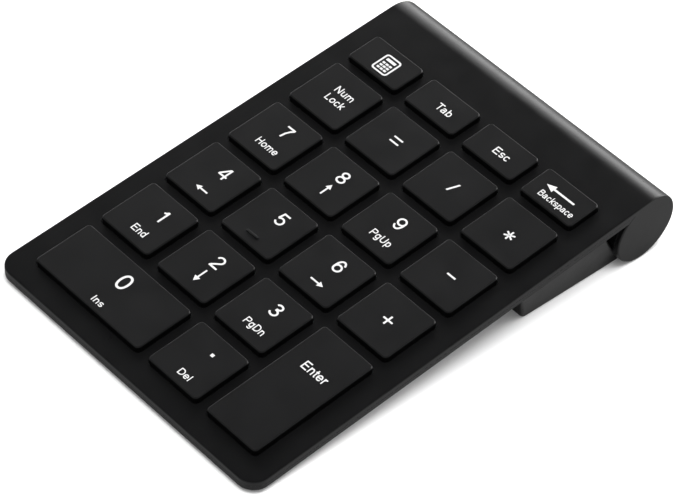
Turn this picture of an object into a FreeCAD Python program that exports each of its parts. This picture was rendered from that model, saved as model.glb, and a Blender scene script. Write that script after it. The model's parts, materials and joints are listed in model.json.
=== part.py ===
import FreeCAD, Part
import math
import os

import Sketcher

# Wireless numeric keypad: a thin inclined key deck that runs into a round bar at the
# rear, with a wedge-shaped box under the rear of the deck that carries two AAA cells,
# the electronics and a bay for the USB receiver.
#
# Part frame: +X to the user's right, +Y away from the user, +Z up, millimetres.
# The origin is on the desk plane, at the centre of the footprint.
# Deck frame: x as above, y up the deck from its front edge, z normal to the deck with
# z = 0 on the deck's top face. Placed by DECK.
# Level frame: the part frame with y measured from the deck's front edge. Placed by LEVEL.

Vector = FreeCAD.Vector
os.makedirs("parts", exist_ok=True)
doc = FreeCAD.newDocument("keypad")
sheet = doc.addObject("Spreadsheet::Sheet", "dims")

# alias, value, meaning
DIMS = [
    ("deck_width", 85.0, "deck width"),
    ("deck_tilt", 7.0, "slope of the deck in degrees"),
    ("deck_rise", 3.736, "height of the deck frame's origin above the desk"),
    ("foot_centre", 65.41, "distance from the front edge to the centre of the footprint"),
    ("front_radius", 4.5, "plan radius of the two front corners"),
    ("split_depth", 1.45, "parting line between the covers, below the deck's top"),
    ("deck_thick", 2.9, "deck thickness at its edge"),
    ("top_skin", 0.6, "top cover skin"),
    ("under_skin", 0.55, "bottom cover skin"),
    ("side_wall", 1.2, "side wall of both covers"),
    ("bar_radius", 9.2, "radius of the rear bar"),
    ("bar_y", 121.4, "distance of the bar's axis from the front edge"),
    ("bar_wall", 1.4, "wall of the rear bar"),
    ("bar_seam", 1.6, "seam on the bar's back, below its axis"),
    ("edge_break", 0.35, "small radius on the outer edges"),
    ("key_pitch", 19.0, "key pitch both ways"),
    ("key_size", 15.75, "keycap side"),
    ("half_key", 9.8, "keycap depth in the rear row"),
    ("key_front", 6.3, "front edge of the first row of keys"),
    ("key_rise", 1.55, "keycap top above the deck"),
    ("key_slab", 0.8, "keycap top thickness"),
    ("key_skirt", 0.7, "keycap skirt thickness"),
    ("key_foot", 0.83, "lower edge of the skirt below the deck's top"),
    ("key_corner", 1.0, "keycap corner radius"),
    ("key_bevel", 0.25, "bevel round the keycap's top"),
    ("key_gap", 0.25, "clearance of a keycap in its opening"),
    ("tab_reach", 0.6, "how far a retaining tab stands out of the skirt"),
    ("tab_thick", 0.2, "retaining tab thickness"),
    ("tab_wide", 3.0, "retaining tab width"),
    ("rib_wide", 1.4, "width of the ribs between keys"),
    ("sheet_thick", 0.1, "thickness of each membrane layer"),
    ("wire_radius", 0.4, "radius of a stabiliser wire"),
    ("arm_length", 5.5, "arm of a stabiliser wire"),
    ("belly_drop", 0.6, "height of the battery box floor above the desk"),
    ("belly_wall", 1.3, "battery box wall"),
    ("belly_inset", 2.75, "how far each side of the battery box leans in at its floor"),
    ("belly_front", 80.4, "battery box front, on the deck's underside"),
    ("belly_back", 107.75, "battery box back, on the deck's underside"),
    ("floor_front", 85.3, "front edge of the battery box floor, from the deck's front edge"),
    ("floor_back", 117.3, "back edge of the battery box floor, from the deck's front edge"),
    ("belly_corner", 0.9, "radius of the battery box's front corners"),
    ("belly_rear_corner", 0.8, "radius of the battery box's rear corners"),
    ("floor_thick", 1.0, "thickness of the battery box floor"),
    ("cell_radius", 5.25, "AAA cell radius"),
    ("cell_length", 44.5, "AAA cell length over its nub"),
    ("cell_height", 6.9, "height of the cells' axes above the desk"),
    ("cell_front_y", 93.0, "front cell axis from the deck's front edge"),
    ("cell_rear_y", 103.8, "rear cell axis from the deck's front edge"),
    ("plug_wide", 12.0, "USB plug width"),
    ("plug_high", 4.5, "USB plug height"),
    ("plug_long", 12.1, "USB plug length"),
    ("grip_wide", 16.5, "receiver grip width"),
    ("grip_high", 6.4, "receiver grip height"),
    ("grip_long", 6.0, "receiver grip length"),
    ("receiver_x", 23.05, "receiver centre line"),
    ("receiver_z", 4.9, "receiver centre above the desk"),
    ("receiver_y", 83.0, "receiver grip's outer face from the deck's front edge"),
    ("board_low", 9.4, "underside of the circuit board above the desk"),
    ("board_thick", 1.0, "circuit board thickness"),
    ("foot_radius", 3.7, "front foot radius"),
]
for line, (alias, value, note) in enumerate(DIMS, start=1):
    sheet.set("A%d" % line, note)
    sheet.set("B%d" % line, str(value))
    sheet.setAlias("B%d" % line, alias)
doc.recompute()


def val(alias):
    return float(sheet.get(alias))


class Size:
    """A length that carries both its formula in the sheet and its present value."""

    def __init__(self, text, value):
        self.text, self.value = text, value

    def __add__(self, other):
        other = size(other)
        return Size("(%s + %s)" % (self.text, other.text), self.value + other.value)

    def __sub__(self, other):
        other = size(other)
        return Size("(%s - %s)" % (self.text, other.text), self.value - other.value)

    def __mul__(self, other):
        other = size(other)
        return Size("(%s * %s)" % (self.text, other.text), self.value * other.value)

    def __truediv__(self, other):
        other = size(other)
        return Size("(%s / %s)" % (self.text, other.text), self.value / other.value)

    def __neg__(self):
        return Size("(0 - %s)" % self.text, -self.value)


def size(number):
    if isinstance(number, Size):
        return number
    return Size("%.6f" % float(number), float(number))


def dim(alias):
    return Size("dims." + alias, val(alias))


X_AXIS, Y_AXIS, Z_AXIS = Vector(1, 0, 0), Vector(0, 1, 0), Vector(0, 0, 1)
LEVEL = FreeCAD.Placement(Vector(0, -val("foot_centre"), 0), FreeCAD.Rotation())
DECK_IN_LEVEL = FreeCAD.Placement(Vector(0, 0, val("deck_rise")),
                                  FreeCAD.Rotation(X_AXIS, val("deck_tilt")))
DECK = LEVEL.multiply(DECK_IN_LEVEL)
TOL = 1e-6

pieces = {}


# ---------------------------------------------------------------- plans and edge tests
# A plan is (left, front, right, back), in numbers or in Sizes.

def strip(x, half_width, front, back):
    return x - half_width, front, x + half_width, back


def grow(plan, margin):
    left, front, right, back = plan
    return left - margin, front - margin, right + margin, back + margin


def upright(edge):
    start, end = edge.Vertexes[0].Point, edge.Vertexes[-1].Point
    return (abs(start.x - end.x) < TOL and abs(start.y - end.y) < TOL
            and abs(start.z - end.z) > TOL)


def lies_at(edge, z):
    return all(abs(vertex.Point.z - z) < TOL for vertex in edge.Vertexes)


def is_round(edge):
    return hasattr(edge.Curve, "Radius")


# ---------------------------------------------------------------- parametric bodies

def new_body(name):
    body = doc.addObject("PartDesign::Body", name)
    body.Label = name
    body.Placement = DECK
    pieces[name] = body
    return body


def origin_item(body, role):
    return next(item for item in body.Origin.OriginFeatures if item.Role == role)


def bind(obj, prop, length):
    length = size(length)
    setattr(obj, prop, length.value)
    obj.setExpression(prop, length.text)


def new_sketch(body, name, role="XY_Plane", lift=None):
    sketch = body.newObject("Sketcher::SketchObject", name)
    sketch.AttachmentSupport = [(origin_item(body, role), "")]
    sketch.MapMode = "FlatFace"
    if lift is not None:
        lift = size(lift)
        sketch.AttachmentOffset = FreeCAD.Placement(Vector(0, 0, lift.value), FreeCAD.Rotation())
        sketch.setExpression("AttachmentOffset.Base.z", lift.text)
    return sketch


def constrain(sketch, length, *terms):
    """Add a constraint whose value follows the sheet."""
    index = sketch.addConstraint(Sketcher.Constraint(*terms, length.value))
    sketch.setExpression("Constraints[%d]" % index, length.text)


def pin(sketch, geo, pos, x, y):
    """Hold a point of a curve at its distances from the sketch's origin."""
    for axis, reference, length in (("X", -2, size(x)), ("Y", -1, size(y))):
        if abs(length.value) < 1e-9:
            sketch.addConstraint(Sketcher.Constraint("PointOnObject", geo, pos, reference))
        else:
            constrain(sketch, length, "Distance" + axis, -1, 1, geo, pos)


def close_loop(sketch, curves):
    for i, curve in enumerate(curves):
        following = curves[(i + 1) % len(curves)]
        sketch.addConstraint(Sketcher.Constraint("Coincident", curve, 2, following, 1))


def line_loop(sketch, corners):
    """Closed loop of lines through corners given as Sizes."""
    points = [Vector(x.value, y.value, 0) for x, y in corners]
    return [sketch.addGeometry(Part.LineSegment(point, points[(i + 1) % len(points)]), False)
            for i, point in enumerate(points)]


def rect(sketch, plan):
    left, front, right, back = [size(side) for side in plan]
    lines = line_loop(sketch, [(left, front), (right, front), (right, back), (left, back)])
    close_loop(sketch, lines)
    for i in (0, 2):
        sketch.addConstraint(Sketcher.Constraint("Horizontal", lines[i]))
    for i in (1, 3):
        sketch.addConstraint(Sketcher.Constraint("Vertical", lines[i]))
    pin(sketch, lines[0], 1, left, front)
    pin(sketch, lines[2], 1, right, back)


def disc(sketch, x, y, radius):
    x, y, radius = size(x), size(y), size(radius)
    circle = Part.Circle(Vector(x.value, y.value, 0), Z_AXIS, radius.value)
    geo = sketch.addGeometry(circle, False)
    pin(sketch, geo, 3, x, y)
    constrain(sketch, radius, "Radius", geo)


def polygon(sketch, corners):
    corners = [(size(x), size(y)) for x, y in corners]
    lines = line_loop(sketch, corners)
    close_loop(sketch, lines)
    for geo, (x, y) in zip(lines, corners):
        pin(sketch, geo, 1, x, y)


def pad(body, sketch, length, down=False):
    result = body.newObject("PartDesign::Pad", sketch.Name + "_pad")
    result.Profile = sketch
    bind(result, "Length", length)
    result.Reversed = down
    sketch.Visibility = False
    doc.recompute()
    return result


def pocket(body, sketch, length, up=False, both_ways=False):
    before = body.Shape.Volume
    result = body.newObject("PartDesign::Pocket", sketch.Name + "_cut")
    result.Profile = sketch
    bind(result, "Length", length)
    result.Reversed = up
    if both_ways:
        result.SideType = "Symmetric"
    doc.recompute()
    if not body.Shape.Volume < before - TOL:
        raise RuntimeError("pocket %s cut nothing" % result.Name)
    return result


def repeat(body, original, axis_role, length, count, name):
    result = body.newObject("PartDesign::LinearPattern", name)
    result.Originals = [original]
    result.Direction = (origin_item(body, axis_role), [""])
    bind(result, "Length", length)
    result.Occurrences = count
    body.Tip = result
    doc.recompute()


def dress(body, kind, name, base, wanted, amount):
    """Fillet or chamfer the edges of base that pass the wanted test."""
    names = ["Edge%d" % i for i, edge in enumerate(base.Shape.Edges, start=1) if wanted(edge)]
    result = body.newObject("PartDesign::" + kind, name)
    result.Base = (base, names)
    bind(result, {"Fillet": "Radius", "Chamfer": "Size"}[kind], amount)
    body.Tip = result
    doc.recompute()
    return result


# ---------------------------------------------------------------- direct shapes

def add_piece(name, shape, place=LEVEL):
    """A piece whose shape is worked out from the sheet with Part's own functions."""
    piece = doc.addObject("Part::Feature", name)
    piece.Label = name
    if shape.ShapeType == "Compound" and len(shape.Solids) == 1:
        shape = shape.Solids[0]
    piece.Shape = shape
    piece.Placement = place
    pieces[name] = piece


def box(plan, low, high):
    left, front, right, back = plan
    return Part.makeBox(right - left, back - front, high - low, Vector(left, front, low))


def round_box(plan, low, high, radius, axis):
    """Box whose four edges along one axis are rounded."""
    shape = box(plan, low, high)
    along = [edge for edge in shape.Edges
             if abs(getattr(edge.Vertexes[1].Point.sub(edge.Vertexes[0].Point), axis)) > TOL]
    return shape.makeFillet(radius, along)


def cylinder(x, y, z, radius, height):
    return Part.makeCylinder(radius, height, Vector(x, y, z))


def cone(x, y, z, low_radius, high_radius, height):
    return Part.makeCone(low_radius, high_radius, height, Vector(x, y, z))


def rod(start, end, radius):
    run = Vector(*end).sub(Vector(*start))
    return Part.makeCylinder(radius, run.Length, Vector(*start), run)


def bent_wire(points, radius):
    wire = rod(points[0], points[1], radius)
    for i in range(1, len(points) - 1):
        wire = wire.fuse(Part.makeSphere(radius, Vector(*points[i])))
        wire = wire.fuse(rod(points[i], points[i + 1], radius))
    return wire.removeSplitter()


def to_level(shape):
    """Deck-frame shape seen in the level frame."""
    moved = shape.copy()
    moved.Placement = DECK_IN_LEVEL.multiply(moved.Placement)
    return moved


# ---------------------------------------------------------------- shared dimensions

HALF_WIDTH = val("deck_width") / 2
DECK_THICK, SPLIT, UNDER_SKIN = val("deck_thick"), val("split_depth"), val("under_skin")
SIDE_WALL = val("side_wall")
BAR_R, BAR_Y, BAR_WALL = val("bar_radius"), val("bar_y"), val("bar_wall")
COVER_GAP = 0.02        # top cover's ribs, bosses and parting line clear what is below them
BAR_END_GAP = 0.05      # bottom cover's part of the bar clears the bar's end discs
HOLLOW_TO_BAR = 7.9     # from the back of the covers' hollow to the bar's axis
UNDERSIDE = -DECK_THICK
INSIDE = UNDERSIDE + UNDER_SKIN     # inner face of the bottom cover's skin

# x, y of the case screws in the deck frame; the last two are in the rear strip
CASE_SCREWS = [(-38.9, 4.4), (38.9, 4.4), (-39.6, 61.7), (39.6, 61.7), (-19.0, 113.0),
               (19.0, 113.0)]

# ---------------------------------------------------------------- keys

# name, first column, first row, columns wide, rows deep (0 is the half-depth rear row)
KEYS = [
    ("key_0", 0, 0, 2, 1), ("key_decimal", 2, 0, 1, 1), ("key_enter", 3, 0, 1, 2),
    ("key_1", 0, 1, 1, 1), ("key_2", 1, 1, 1, 1), ("key_3", 2, 1, 1, 1),
    ("key_4", 0, 2, 1, 1), ("key_5", 1, 2, 1, 1), ("key_6", 2, 2, 1, 1),
    ("key_plus", 3, 2, 1, 1),
    ("key_7", 0, 3, 1, 1), ("key_8", 1, 3, 1, 1), ("key_9", 2, 3, 1, 1),
    ("key_minus", 3, 3, 1, 1),
    ("key_num_lock", 0, 4, 1, 1), ("key_equals", 1, 4, 1, 1), ("key_divide", 2, 4, 1, 1),
    ("key_multiply", 3, 4, 1, 1),
    ("key_calculator", 0, 5, 1, 0), ("key_tab", 1, 5, 1, 0), ("key_esc", 2, 5, 1, 0),
    ("key_backspace", 3, 5, 1, 0),
]
TAB_OFFSET, HALF_KEY_TAB_OFFSET = 4.4, 2.4      # tab centres from the key's middle
HOMING_HALF_WIDTH, HOMING_RISE = 1.75, 0.3
HOMING_FRONT, HOMING_BACK = 2.3, 2.9            # from the keycap's front edge

pitch = dim("key_pitch")


def key_plan(col, row, wide, deep):
    """Sheet formulas for a keycap's four sides in the deck frame."""
    side = dim("key_size")
    left = pitch * (col - 1.5) - side / 2
    front = dim("key_front") + pitch * row
    right = left + side + pitch * (wide - 1)
    back = front + (dim("half_key") if deep == 0 else side + pitch * (deep - 1))
    return left, front, right, back


def key_centre(*spot):
    left, front, right, back = key_plan(*spot)
    return (left.value + right.value) / 2, (front.value + back.value) / 2


CENTRES = {name: key_centre(*spot) for name, *spot in KEYS}


def build_key(name, col, row, wide, deep):
    plan = left, front, right, back = key_plan(col, row, wide, deep)
    foot = -dim("key_foot")
    height = dim("key_rise") + dim("key_foot")
    skirt = dim("key_skirt")
    body = new_body(name)

    outline = new_sketch(body, name + "_outline", lift=foot)
    rect(outline, plan)
    cap = pad(body, outline, height)
    cap = dress(body, "Fillet", name + "_corners", cap, upright, dim("key_corner"))
    dress(body, "Chamfer", name + "_bevel", cap,
          lambda edge: lies_at(edge, val("key_rise")), dim("key_bevel"))

    hollow = new_sketch(body, name + "_hollow", lift=foot)
    rect(hollow, grow(plan, -skirt))
    pocket(body, hollow, height - dim("key_slab"), up=True)

    # four tabs under the deck skin keep the cap in its opening
    reach, half_tab = dim("tab_reach"), dim("tab_wide") / 2
    tabs = new_sketch(body, name + "_tabs", lift=foot)
    middle = (front + back) / 2
    offset = size(HALF_KEY_TAB_OFFSET if deep == 0 else TAB_OFFSET)
    offset = offset + pitch * (max(deep, 1) - 1) / 2
    for side in (-1, 1):
        tab_y = middle + offset * side
        rect(tabs, (left - reach, tab_y - half_tab, left + skirt / 2, tab_y + half_tab))
        rect(tabs, (right - skirt / 2, tab_y - half_tab, right + reach, tab_y + half_tab))
    pad(body, tabs, dim("tab_thick"))


def add_homing_bar(name):
    left, front, right, _ = key_plan(*next(spot for key, *spot in KEYS if key == name))
    homing = new_sketch(pieces[name], name + "_homing", lift=dim("key_rise"))
    rect(homing, strip((left + right) / 2, HOMING_HALF_WIDTH,
                       front + HOMING_FRONT, front + HOMING_BACK))
    pad(pieces[name], homing, HOMING_RISE)


# ---------------------------------------------------------------- stabilisers of the wide keys

# key, wire, axis the wire runs along
STABILISERS = [("key_0", "zero_stabilizer_wire", "x"), ("key_enter", "enter_stabilizer_wire", "y")]
WIRE_R = val("wire_radius")
PIVOT_Z, ARM_END_Z = -1.55, -0.05   # heights of the wire at its pivot and at its arms' ends
PIVOT_OFFSET = 4.6                  # pivot from the key's centre
ARM_SPAN = 12.6                     # half distance between a wire's arms
WIRE_END = 1.8                      # turned-out end of an arm
ARM_RUN = val("arm_length") * math.cos(math.asin((ARM_END_Z - PIVOT_Z) / val("arm_length")))
EAR_NEAR, EAR_FAR = 0.7, 1.5        # sides of an ear, outward from the arm
EAR_DEPTH = 0.75                    # ear below the deck's top
SLOT_HALF_HEIGHT = 0.45
WIRE_POSTS = (-8.5, 8.5)            # posts along the wire, from the key's centre


def wire_spot(key, axis, offset, run):
    """x, y at an offset along the wire and a run along its arms from the pivot."""
    x, y = CENTRES[key]
    if axis == "x":
        return x + offset, y - PIVOT_OFFSET + run
    return x + PIVOT_OFFSET - run, y + offset


def wire_plan(key, axis, offsets, runs):
    """Plan of a rectangle between two offsets and two runs."""
    corners = [wire_spot(key, axis, offset, run) for offset, run in zip(offsets, runs)]
    (left, right), (front, back) = [sorted(values) for values in zip(*corners)]
    return left, front, right, back


def add_ears(key, axis):
    """Two slotted ears under a keycap that the wire's ends slide in."""
    body = pieces[key]
    under = dim("key_rise") - dim("key_slab")
    ears = new_sketch(body, key + "_ears", lift=under)
    for side in (-1, 1):
        rect(ears, wire_plan(key, axis,
                             (side * (ARM_SPAN + EAR_NEAR), side * (ARM_SPAN + EAR_FAR)),
                             (ARM_RUN - 0.85, ARM_RUN + 1.25)))
    pad(body, ears, under + EAR_DEPTH, down=True)

    x, y = CENTRES[key]
    role, lift = ("YZ_Plane", x) if axis == "x" else ("XZ_Plane", -y)
    slots = new_sketch(body, key + "_ear_slots", role=role, lift=lift)
    left, front, right, back = wire_plan(key, axis, (0, 0), (ARM_RUN - 0.5, ARM_RUN + 1.3))
    start, end = (front, back) if axis == "x" else (left, right)
    rect(slots, (start, ARM_END_Z - SLOT_HALF_HEIGHT, end, ARM_END_Z + SLOT_HALF_HEIGHT))
    pocket(body, slots, 2 * ARM_SPAN + 4.0, both_ways=True)


def build_wire(key, name, axis):
    # offset, run and height of each bend, from one turned-out end to the other
    stations = [(-ARM_SPAN - WIRE_END, ARM_RUN, ARM_END_Z), (-ARM_SPAN, ARM_RUN, ARM_END_Z),
                (-ARM_SPAN, 0, PIVOT_Z), (ARM_SPAN, 0, PIVOT_Z),
                (ARM_SPAN, ARM_RUN, ARM_END_Z), (ARM_SPAN + WIRE_END, ARM_RUN, ARM_END_Z)]
    points = [wire_spot(key, axis, offset, run) + (z,) for offset, run, z in stations]
    add_piece(name, bent_wire(points, WIRE_R), DECK)


# ---------------------------------------------------------------- top cover

RIB_SIDE = 5.6          # ribs across the deck end this far from its sides
BOSS_R, PILOT_R = 1.4, 0.8
OPENING_DEPTH = dim("top_skin") + 0.3

half_width = dim("deck_width") / 2
wall = dim("side_wall")
bar_y, bar_r = dim("bar_y"), dim("bar_radius")
split = dim("split_depth")
inner_width = dim("deck_width") - wall * 2


def front_corner(edge):
    return upright(edge) and edge.Vertexes[0].Point.y < 1.0


def deck_rim(edge):
    """Top edges round the front and along both sides, but not the one under the bar."""
    start, end = edge.Vertexes[0].Point, edge.Vertexes[-1].Point
    at_front = all(vertex.Point.y < BAR_Y - 0.4 for vertex in edge.Vertexes)
    at_side = (all(abs(abs(point.x) - HALF_WIDTH) < TOL for point in (start, end))
               and abs(start.y - end.y) > 50)
    return lies_at(edge, 0) and (at_front or at_side)


def opening_corner(edge):
    """Short upright edges of the key openings that reach the deck's top."""
    start, end = edge.Vertexes[0].Point, edge.Vertexes[-1].Point
    return (upright(edge) and edge.Length < val("top_skin") + 0.02
            and abs(start.x) < 37.0 and 5.0 < start.y < 112.0
            and max(start.z, end.z) > -TOL)


def add_bar(body):
    """The rear bar: half its section with broken corners, turned about its axis."""
    sketch = new_sketch(body, "bar_profile", lift=-bar_r)
    corner = dim("edge_break")
    rim_y = bar_y + bar_r
    ends = [(-half_width, bar_y), (half_width, bar_y), (half_width, rim_y - corner),
            (half_width - corner, rim_y), (corner - half_width, rim_y),
            (-half_width, rim_y - corner)]
    points = [Vector(x.value, y.value, 0) for x, y in ends]

    def side(start, end):
        return sketch.addGeometry(Part.LineSegment(points[start], points[end]), False)

    def arc(x, y, start, end):
        circle = Part.Circle(Vector(x, y, 0), Z_AXIS, corner.value)
        return sketch.addGeometry(Part.ArcOfCircle(circle, start, end), False)

    curves = [side(0, 1), side(1, 2),
              arc(points[3].x, points[2].y, 0, math.pi / 2), side(3, 4),
              arc(points[4].x, points[5].y, math.pi / 2, math.pi), side(5, 0)]
    close_loop(sketch, curves)
    held = [(0, 1), (1, 1), (1, 2), (3, 1), (3, 2), (5, 1)]     # curve, end
    for (curve, pos), (x, y) in zip(held, ends):
        pin(sketch, curves[curve], pos, x, y)
    for i in (2, 4):
        constrain(sketch, corner, "Radius", curves[i])
    axis = sketch.addGeometry(Part.LineSegment(Vector(-50, points[0].y, 0),
                                               Vector(50, points[0].y, 0)), True)
    sketch.addConstraint(Sketcher.Constraint("Horizontal", axis))
    sketch.addConstraint(Sketcher.Constraint("PointOnObject", axis, 1, curves[0]))
    bar = body.newObject("PartDesign::Revolution", "bar")
    bar.Profile = sketch
    bar.ReferenceAxis = (sketch, ["Axis0"])
    bar.Angle = 360.0
    doc.recompute()


def hollow_top_cover(body):
    sketch = new_sketch(body, "bar_hollow", role="YZ_Plane")
    disc(sketch, bar_y, -bar_r, bar_r - dim("bar_wall"))
    pocket(body, sketch, inner_width, both_ways=True)

    # between the end discs the bar's front and underside belong to the bottom cover
    sketch = new_sketch(body, "bar_open_side", role="YZ_Plane")
    seam = -bar_r - dim("bar_seam")
    front, back, low = bar_y - 16, bar_y + 14, -bar_r * 2 - 3
    polygon(sketch, [(front, -split), (bar_y, -split), (bar_y, seam), (back, seam),
                     (back, low), (front, low)])
    pocket(body, sketch, inner_width, both_ways=True)

    sketch = new_sketch(body, "deck_hollow", lift=-split)
    cut = (dim("front_radius") - wall) * 0.5
    side, back = half_width - wall, bar_y - HOLLOW_TO_BAR
    polygon(sketch, [(-side, wall + cut), (-side + cut, wall), (side - cut, wall),
                     (side, wall + cut), (side, back), (-side, back)])
    pocket(body, sketch, split - dim("top_skin"), up=True)


def add_ribs(body):
    """Ribs between the keys press the membrane stack against the bottom cover."""
    half_rib = dim("rib_wide") / 2
    depth = (dim("deck_thick") - dim("under_skin") - dim("sheet_thick") * 3
             - dim("top_skin") - COVER_GAP)
    sketch = new_sketch(body, "ribs_along", lift=-dim("top_skin"))
    # gap between columns, front end of its rib; the first stops behind the wide key
    for gap, front in ((-1, dim("key_front") + pitch - 1.6), (0, 1.3), (1, 1.3)):
        rect(sketch, strip(pitch * gap, half_rib, front, bar_y - 9.0))
    pad(body, sketch, depth, down=True)

    first = dim("key_front") + (dim("key_size") + pitch) / 2
    for i in range(5):
        sketch = new_sketch(body, "rib_across_%d" % (i + 1), lift=-dim("top_skin"))
        right = pitch if i == 0 else half_width - RIB_SIDE      # the first stops at enter
        y = first + pitch * i
        rect(sketch, (-half_width + RIB_SIDE, y - half_rib, right, y + half_rib))
        pad(body, sketch, depth, down=True)


def add_screw_bosses(body):
    depth = dim("deck_thick") - dim("under_skin") - dim("top_skin") - COVER_GAP
    bosses = new_sketch(body, "screw_bosses", lift=-dim("top_skin"))
    for x, y in CASE_SCREWS:
        disc(bosses, x, y, BOSS_R)
    pad(body, bosses, depth, down=True)
    pilots = new_sketch(body, "screw_pilots", lift=-dim("deck_thick") + dim("under_skin"))
    for x, y in CASE_SCREWS:
        disc(pilots, x, y, PILOT_R)
    pocket(body, pilots, depth, up=True)


def cut_key_openings(body):
    """One row repeated five times, then the joined keys and the half-depth row."""
    gap = dim("key_gap")
    sketch = new_sketch(body, "openings_row")
    for col in range(4):
        rect(sketch, grow(key_plan(col, 0, 1, 1), gap))
    row = pocket(body, sketch, OPENING_DEPTH)
    repeat(body, row, "Y_Axis", pitch * 4, 5, "openings_rows")

    sketch = new_sketch(body, "openings_wide")
    for spot in [(0, 0, 2, 1), (3, 0, 1, 2)] + [(col, 5, 1, 0) for col in range(4)]:
        rect(sketch, grow(key_plan(*spot), gap))
    wide = pocket(body, sketch, OPENING_DEPTH)
    dress(body, "Fillet", "opening_corners", wide, opening_corner, dim("key_corner") + gap)


def build_top_cover():
    body = new_body("top_cover")
    outline = new_sketch(body, "deck_outline")
    rect(outline, (-half_width, 0, half_width, bar_y))
    deck = pad(body, outline, split, down=True)
    deck = dress(body, "Fillet", "front_corners", deck, front_corner, dim("front_radius"))
    dress(body, "Fillet", "deck_edge_break", deck, deck_rim, dim("edge_break"))
    add_bar(body)
    hollow_top_cover(body)
    add_ribs(body)
    add_screw_bosses(body)
    cut_key_openings(body)


# ---------------------------------------------------------------- battery box outline

FLOOR_Z, FLOOR_THICK = val("belly_drop"), val("floor_thick")
FRONT_INSET, BACK_INSET = 1.05, 1.15    # level inset per unit of wall on the leaning ends
LEAST_CORNER = 0.5


def round_quad(corners, radii):
    """Closed wire through four corners with a rounding at each."""
    arcs = []
    for i, corner in enumerate(corners):
        radius = radii[i]
        back = corners[i - 1].sub(corner).normalize()
        ahead = corners[(i + 1) % len(corners)].sub(corner).normalize()
        half_angle = back.getAngle(ahead) / 2
        setback = radius / math.tan(half_angle)
        bisector = back.add(ahead).normalize()
        centre = corner.add(bisector.multiply(radius / math.sin(half_angle)))
        middle = corner.sub(centre).normalize().multiply(radius).add(centre)
        arcs.append((corner.add(Vector(back).multiply(setback)), middle,
                     corner.add(Vector(ahead).multiply(setback))))
    edges = []
    for i, (start, middle, end) in enumerate(arcs):
        edges.append(Part.Arc(start, middle, end).toShape())
        edges.append(Part.LineSegment(end, arcs[(i + 1) % len(arcs)][0]).toShape())
    return Part.Wire(edges)


def belly(inset, lift=0.0):
    """The battery box in the level frame: its sides and ends lean, its floor is level."""

    def corners(half, front, back, z):
        front, back = front + inset * FRONT_INSET, back - inset * BACK_INSET
        return [Vector(-half, front, z), Vector(half, front, z),
                Vector(half, back, z), Vector(-half, back, z)]

    high = corners(HALF_WIDTH - inset, val("belly_front"), val("belly_back"), UNDERSIDE + lift)
    high = [DECK_IN_LEVEL.multVec(point) for point in high]
    low = corners(HALF_WIDTH - val("belly_inset") - inset,
                  val("floor_front"), val("floor_back"), FLOOR_Z)
    front = max(val("belly_corner") - inset, LEAST_CORNER)
    rear = max(val("belly_rear_corner") - inset, LEAST_CORNER)
    high_wire = round_quad(high, [front * 0.6] * 2 + [rear] * 2)
    low_wire = round_quad(low, [front] * 2 + [rear] * 2)
    return Part.makeLoft([low_wire, high_wire], True, True)


def deep_belly(inset):
    """The hollow of the battery box, run on below the floor so that it opens downwards."""
    shape = belly(inset)
    floor = [face for face in shape.Faces if abs(face.CenterOfMass.z - FLOOR_Z) < TOL][0]
    return shape.fuse(floor.extrude(Vector(0, 0, -3.0)))


OUTER_BELLY = belly(0.0)

# ---------------------------------------------------------------- battery box layout
# Everything from here to the membranes is in the level frame.

AHEAD = 70                  # y of cutting boxes' front faces, well ahead of the battery box
FLOOR_SPLIT_Y = 110.65      # the floor behind this belongs to the bottom cover
BAY_FLOOR = FLOOR_Z + FLOOR_THICK + 0.05    # lower edge of the walls over the loose floor
DOOR_LEFT, DOOR_RIGHT = -38.1, 12.3
BOARD_LOW = val("board_low")
BOARD_TOP = BOARD_LOW + val("board_thick")
FLOOR_SCREWS = [(35.4, 88.6), (35.4, 108.0), (15.9, 108.0)]                     # x, y
BOARD_SCREWS = [(37.0, 103.4, 2.2), (16.2, 103.4, 2.2), (16.2, 92.8, 1.4)]      # and pilot depth

RECEIVER_X, RECEIVER_Y, RECEIVER_Z = val("receiver_x"), val("receiver_y"), val("receiver_z")
GRIP_HALF, GRIP_HALF_HIGH = val("grip_wide") / 2, val("grip_high") / 2
GRIP_BACK = RECEIVER_Y + val("grip_long")
SLEEVE_HALF = GRIP_HALF + 0.9

TAIL_LEFT, TAIL_RIGHT, TAIL_BACK = 22.0, 30.0, 106.0
SHEET_THICK = val("sheet_thick")
SWITCH_SLOT = (34.45, 94.05, 36.35, 99.35)

# ---------------------------------------------------------------- bottom cover


def deck_slab(inset, low, high, back):
    slab = box(strip(0, HALF_WIDTH - inset, inset, back), low, high)
    corners = [edge for edge in slab.Edges if upright(edge) and edge.Vertexes[0].Point.y < 10]
    return slab.makeFillet(max(val("front_radius") - inset, 0.5), corners)


def bar_cylinder(radius, half_length):
    return Part.makeCylinder(radius, 2 * half_length, Vector(-half_length, BAR_Y, -BAR_R), X_AXIS)


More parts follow.
